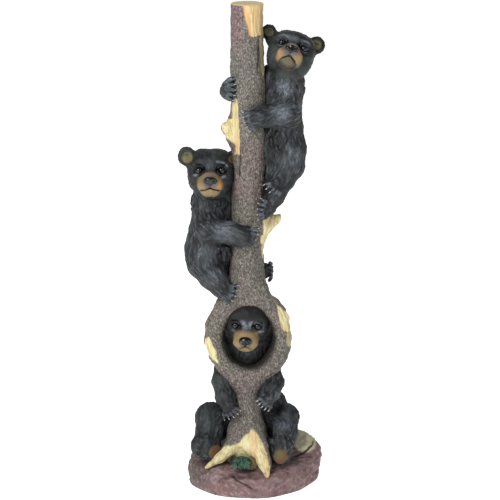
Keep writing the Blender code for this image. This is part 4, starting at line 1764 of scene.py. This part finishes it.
    def build(self, finishes: Finishes) -> None:
        """Models the cub: head and body meet without a seam under the ruff."""
        low, high = array(*self.low), array(*self.high)
        for part, bottom, top, seam, pitch in (
            ("head", self.cut - LAP, high[2], self.cut - LAP, self.head_pitch),
            ("body", low[2], self.cut + LAP, self.cut + LAP, self.pitch),
        ):
            clay = Clay((low[0], low[1], bottom - 4), (high[0], high[1], top + 4), pitch)
            self.model(clay)
            clay.between(bottom, top)
            self.dress(clay, seam).build(f"{self.name}_{part}", finishes.fur, Slot.FUR)
        claws = [claw for owner in (*self.paws, *self.soles) for claw in owner.claws()]
        joined(claws).build(f"{self.name}_claws", finishes.claw, Slot.GLOSS)
        self.head.eyes().build(f"{self.name}_eyes", finishes.gloss, Slot.GLOSS)
        self.head.leather().build(f"{self.name}_nose", finishes.gloss, Slot.GLOSS)


def top_cub(trunk: Trunk) -> Cub:
    """The cub on the trunk's right side, hugging it with both arms and looking up."""
    on = trunk.on
    return Cub(
        name="top_cub",
        head=Head(
            (46.8, 0, 547), yaw=5, pitch=36, roll=16, chin_dark=0.85, lid_highlight=0.4,
            ears=((-1.15, 0.74, 0.88), (0.90, 0.78, 1.0)), lip_line=(-0.74, 0.14, 0.38),
            smoke=(-0.04, -0.38, 0.42, 0.44),
            glows=((-0.46, -0.62, 0.12, 0.24, 0.7), (0.42, -0.52, 0.14, 0.30, 0.3)),
            lights=((-0.1, 0.30, 0.30, 0.20, 0.35), (0.44, 0.34, 0.26, 0.10, 0.5),
                    (-0.44, 0.34, 0.26, 0.10, 0.4)),
        ),
        limbs=[
            rows((43, 4, 524, 22), (42, 6, 506, 20.5), (38.5, 8, 481, 22), (38, 10, 454, 24.5),
                 (40, 12, 428, 26.5), (39, 12, 411, 25)),
            rows((24, 10, 520, 15), (22, 10, 480, 17), (22, 10, 430, 19), (24, 8, 400, 16), (21, 8, 378, 13)),
            [(array(46, 0, 496), 16), (array(44.6, -16, 474), 15.5), (on(474, 40, 10), 14),
             (on(473, 66, 9), 12.6), (array(4, -25, 472), 11.6)],
            [(array(42, 20, 496), 15), (on(496, 300, 13), 13.5), (on(498, 230, 10), 12.5),
             (on(501, 186, 4), 12)],
            rows((46, 0, 424, 20), (45.5, -2, 408, 19), (38, -4, 391, 14.5), (28, -14, 373, 12.3),
                 (21, -21, 361, 10.6)),
            rows((38, 14, 408, 20), (33, 2, 398, 14), (28, -14, 390, 10.5)),
        ],
        paws=[
            Paw((0, -26.5, 471.5), 12.5, (-0.93, -0.1, -0.33), (-0.05, 1, 0), fan=7),
            Paw((-28, -9, 506), 14, (0.75, -0.66, 0), (0.66, 0.75, 0), fan=5),
            Paw((16, -24.5, 358.5), 12.8, (-0.97, -0.2, 0.1), (-0.15, 1, 0)),
            Paw((26.5, -20, 386), 11, (-0.62, -0.25, -0.72), (-0.3, 0.95, -0.2)),
        ],
        neck=((43, 4, 516), (18, 19), -40, 150, 2),
        cut=512, low=(-44, -60, 340), high=(92, 46, 594),
        lumps=[((56, 28, 404), (9, 9, 9)), ((-26.6, -2, 504.5), (9.4, 11, 16.4))],
        tufts=[((34, 10, 452), (24, 24), 62, 100, 3)],
        lights=[
            ((40, -18, 508), 13, 0.45), ((34, -28, 478), 16, 0.35), ((52, -16, 482), 12, 0.35),
            ((52, -18, 420), 18, 0.2),
        ],
        shades=[((28, -12, 436), 16, 0.6)],
    )


def middle_cub(trunk: Trunk) -> Cub:
    """The cub on the trunk's left side, facing the viewer, one foot on the knothole's rim."""
    on = trunk.on
    return Cub(
        name="middle_cub",
        head=Head(
            (-51.8, -5, 401), pitch=12, chin_dark=0.1, lid_highlight=0.0,
            ears=((-1.0, 0.66, 1.03), (0.96, 0.60, 0.8)), lip_line=(-0.73, 0.05, 0.42),
            glows=((0.42, -0.52, 0.14, 0.28, 1.0), (-0.05, -0.14, 0.2, 0.08, 0.3)),
            lights=((-0.59, -0.13, 0.12, 0.07, 0.6), (0.53, -0.20, 0.14, 0.08, 0.75),
                    (0.34, 0.42, 0.13, 0.06, 0.5), (0.52, 0.37, 0.12, 0.06, 0.6),
                    (0.66, 0.24, 0.08, 0.10, 0.6), (0, 0.15, 0.22, 0.3, 0.15)),
        ),
        limbs=[
            rows((-52, 4, 378, 22), (-52.8, 6, 360, 21.5), (-52.8, 6, 341, 23), (-54.2, 8, 319, 26),
                 (-56.8, 8, 299, 28), (-56.8, 8, 284, 26.7)),
            rows((-34, 8, 385, 15), (-34, 10, 345, 18), (-36, 12, 300, 20), (-40, 10, 275, 17)),
            [(array(-58, -8, 346), 15.5), (array(-53.7, -22, 333), 15.5), (on(328, 132, 12), 14.3),
             (on(324.5, 104, 10), 13.1), (on(322, 90, 8), 12)],
            [(array(-50, 22, 334), 15), (on(324, 240, 12), 13), (on(320, 300, 8), 11)],
            rows((-60, -4, 286, 22.4), (-49, -14, 269.5, 17.4), (-37, -20, 256.5, 13), (-31, -22, 250, 11)),
            rows((-56, 22, 277, 22), (-26, 32, 269.5, 15), (4, 28, 268, 12)),
        ],
        paws=[
            Paw((-6, -27.5, 326), 13.2, (0.87, -0.05, -0.47), (0.05, 1, 0), fan=13),
            Paw(on(320, 296, 4), 10, (0.9, -0.3, 0), (-0.4, -0.9, 0), claw=3.0),
            Paw((-30, -24.5, 252.5), 12, (0.88, -0.2, -0.40), (0.2, 0.95, -0.2), fan=12),
            Paw(on(272, 342, 3), 12.5, (0.3, -0.95, 0), (-0.95, -0.3, 0), claw=1.6, fan=3, shine=0.15),
        ],
        neck=((-52.5, 4, 366), (20, 20), 30, 220, 2),
        cut=364, low=(-98, -58, 226), high=(36, 60, 448),
        lumps=[((-72, 28, 284), (9, 9, 9))],
        tufts=[((-44, 8, 306), (25, 24), 60, 86, 2)],
        lights=[((-34, -34, 334), 17, 0.3), ((-58, -26, 300), 16, 0.15), ((-46, -26, 272), 14, 0.2)],
        shades=[((-32, -14, 296), 18, 0.4)],
    )


def seated_cub(trunk: Trunk) -> Cub:
    """The cub that sits behind the trunk, hugs it and looks out through the knothole."""
    ruff = (trunk.hole_half_width * 1.1, 17, trunk.hole_half_height * 1.1)
    return Cub(
        name="seated_cub",
        head=Head(
            (-5.9, -2, 211), yaw=4, pitch=-10, roll=2, chin_dark=0.0, lid_highlight=0.25,
            lip_line=(-0.70, 0.10, 0.28), smoke=(0.03, -0.50, 0.26, 0.27),
            glows=((-0.05, -0.12, 0.4, 0.12, 0.35), (-0.48, -0.5, 0.1, 0.3, 0.35)),
            lights=((-0.16, 0.27, 0.17, 0.13, 1.0), (0.20, 0.18, 0.13, 0.2, 0.8), (0.0, 0.05, 0.16, 0.2, 0.5),
                    (-0.50, -0.18, 0.16, 0.08, 0.5), (0.52, 0.30, 0.22, 0.05, 1.0),
                    (0.70, 0.10, 0.05, 0.2, 0.8), (0.58, -0.18, 0.16, 0.06, 0.9)),
        ),
        limbs=[
            rows((-5.8, 16, 176, 27), (-5.7, 28, 136, 31), (-5.7, 34, 96, 40), (-5.8, 36, 66, 42)),
            rows((-33.5, 14, 140, 17), (-38, -4, 132, 13.3), (-34.5, -20, 117, 12.4), (-28, -31, 106, 10.8)),
            rows((20.5, 14, 140, 17), (26.5, -6, 131, 13.6), (22.5, -22, 123, 12.4), (18, -33, 117, 10.6)),
            rows((-29, 24, 65, 25), (-52, -2, 82.5, 20.5), (-54.7, -18, 68, 17.4), (-56, -28, 56, 15)),
            rows((20, 24, 65, 25), (42.5, -2, 84, 17), (41.5, -20, 68, 15.5), (37, -32, 54, 14)),
        ],
        paws=[
            Paw((-27.5, -35, 103.5), 11.3, (0.52, -0.2, -0.83), (0.35, 1, 0), fan=13),
            Paw((17, -36, 116), 10.8, (-0.65, -0.2, -0.73), (-0.35, 1, 0), claw=6.4, fan=5, shine=0.65),
        ],
        soles=[
            Sole((-57, -32, 53), -34, 6, -62, 17, shine=0.1),
            Sole((35.5, -38, 51), -4, 12, 6, 16, pad_middle=(34, 49)),
        ],
        neck=((-5.8, 18, 176), (25, 25), -170, -10, 2),
        cut=150, low=(-86, -64, 6), high=(76, 84, 262),
        lumps=[
            ((-4.4, 6, 191), ruff), ((-60, -30, 55), (19, 18, 17)), ((-5, 66, 58), (10, 9, 9)),
            ((30, 10, 100), (14, 14, 17)),
        ],
        lights=[((36, -20, 80), 18, 0.25), ((28, -26, 122), 10, 0.3)],
        shades=[((-44, -16, 100), 26, 0.5), ((26, -16, 92), 22, 0.5), ((-30, -14, 70), 20, 0.6)],
        shadow=((-4.4, 0, 191), 17.5, 27),
        pitch=1.2, head_pitch=0.85,
    )


@dataclass
class Moss:
    """A tuft of leaves in the arch between the two front roots."""

    centre: tuple[float, float, float] = (-13, -48, 38.5)
    leaves: int = 150
    length: float = 9.0

    def build(self, finishes: Finishes) -> None:
        """Grows the leaves from the middle of the tuft."""
        rng = np.random.default_rng(71)
        clay = Clay(array(*self.centre) - 18, array(*self.centre) + 18, 0.9)
        clay.egg(self.centre, (12, 8, 8.5))
        heart = clay.skin()
        heart.values["ridge"] = np.zeros(len(heart.points))
        skins = [heart]
        for _ in range(self.leaves):
            angle = rng.uniform(-0.3, math.pi + 0.3)
            lean = rng.uniform(0.1, 1.0)
            out = unit(array(math.cos(angle) * lean, -1.1 + 0.5 * lean, math.sin(angle) * lean))
            root = array(*self.centre) + out * array(9, 6, 6.5)
            droop = array(rng.uniform(-2, 2), -1.0, -rng.uniform(1, 5))
            tip = root + out * self.length * rng.uniform(0.6, 1.0) + droop
            bend = root + out * self.length * 0.55 + array(0, 0, 1.5)
            leaf = horn(root, bend, tip, 1.15, rings=6, spokes=6)
            leaf.values["ridge"] = np.repeat(np.linspace(0.1, 1, 6), 6)
            skins.append(leaf)
        joined(skins).build("moss", finishes.leaves, Slot.BARK)


@dataclass
class Studio:
    """A plain pale floor, soft light and the photograph's point of view."""

    eye: tuple[float, float, float] = (-0.0031, -3.2, 1.08)
    aim: tuple[float, float, float] = (-0.0031, 0.0, 0.3006)
    focal: float = 190.55
    glow: float = 0.85
    sensor: float = 36.0
    surround: float = 0.22
    floor_reach: float = 8.0
    lit: tuple[float, float, float] = (0, 0, 0.32)
    lamps: Sequence[tuple[str, Point, float, float]] = (
        ("key", (-0.75, -1.15, 1.25), 0.8, 25), ("fill", (1.2, -1.2, 0.9), 0.9, 4),
        ("rim", (0.5, 1.5, 1.6), 1.4, 9),
    )

    def camera(self) -> None:
        """Sets the camera."""
        data = bpy.data.cameras.new("camera")
        data.lens = self.focal
        data.sensor_width = self.sensor
        data.clip_end = 50
        camera = bpy.data.objects.new("camera", data)
        camera.location = self.eye
        look = Vector(self.aim) - Vector(self.eye)
        camera.rotation_euler = look.to_track_quat("-Z", "Y").to_euler()
        bpy.context.scene.collection.objects.link(camera)
        bpy.context.scene.camera = camera

    def floor(self) -> None:
        """Lays the floor."""
        sheet = Sheet("studio_floor")
        cloud = sheet.noise(sheet.place(), 6, 2)
        colour = sheet.mix(cloud, paint("f4f3f1"), paint("f8f7f6"))
        material = sheet.finish(colour, 0.9, Specular_IOR_Level=0.1, Emission_Strength=self.glow)
        material.node_tree.nodes["Principled BSDF"].inputs["Emission Color"].default_value = (1, 1, 1, 1)
        mesh = bpy.data.meshes.new("floor")
        reach = self.floor_reach
        corners = [(-reach, -reach, 0), (reach, -reach, 0), (reach, reach, 0), (-reach, reach, 0)]
        mesh.from_pydata(corners, [], [(0, 1, 2, 3)])
        mesh.materials.append(material)
        floor = bpy.data.objects.new("floor", mesh)
        bpy.context.scene.collection.objects.link(floor)

    def lamp(self, name: str, place: Point, size: float, power: float) -> None:
        """A square soft light that faces the statue's middle.

        Args:
            name: Its name.
            place: Where it hangs, in metres.
            size: Its side in metres.
            power: Its power in watts.
        """
        data = bpy.data.lights.new(name, "AREA")
        data.size = size
        data.energy = power
        light = bpy.data.objects.new(name, data)
        light.location = place
        look = Vector(self.lit) - Vector(place)
        light.rotation_euler = look.to_track_quat("-Z", "Y").to_euler()
        bpy.context.scene.collection.objects.link(light)

    def world(self) -> None:
        """A pale surrounding light, with colours shown as they are mixed."""
        bpy.context.scene.view_settings.view_transform = "Standard"
        world = bpy.data.worlds.new("studio")
        world.use_nodes = True
        ground = world.node_tree.nodes["Background"]
        ground.inputs["Color"].default_value = (1, 1, 1, 1)
        ground.inputs["Strength"].default_value = self.surround
        bpy.context.scene.world = world

    def build(self) -> None:
        """Sets up the studio."""
        self.camera()
        self.floor()
        self.world()
        for name, place, size, power in self.lamps:
            self.lamp(name, place, size, power)


def main() -> None:
    """Builds the statue's looks in order and reports each piece."""
    logging.basicConfig(level=logging.INFO, format="%(name)s %(message)s")
    Studio().build()
    finishes = Finishes()
    trunk = Trunk()
    for assembly in (trunk, Rock(), Moss(), top_cub(trunk), middle_cub(trunk), seated_cub(trunk)):
        assembly.build(finishes)


if __name__ == "__main__":
    main()
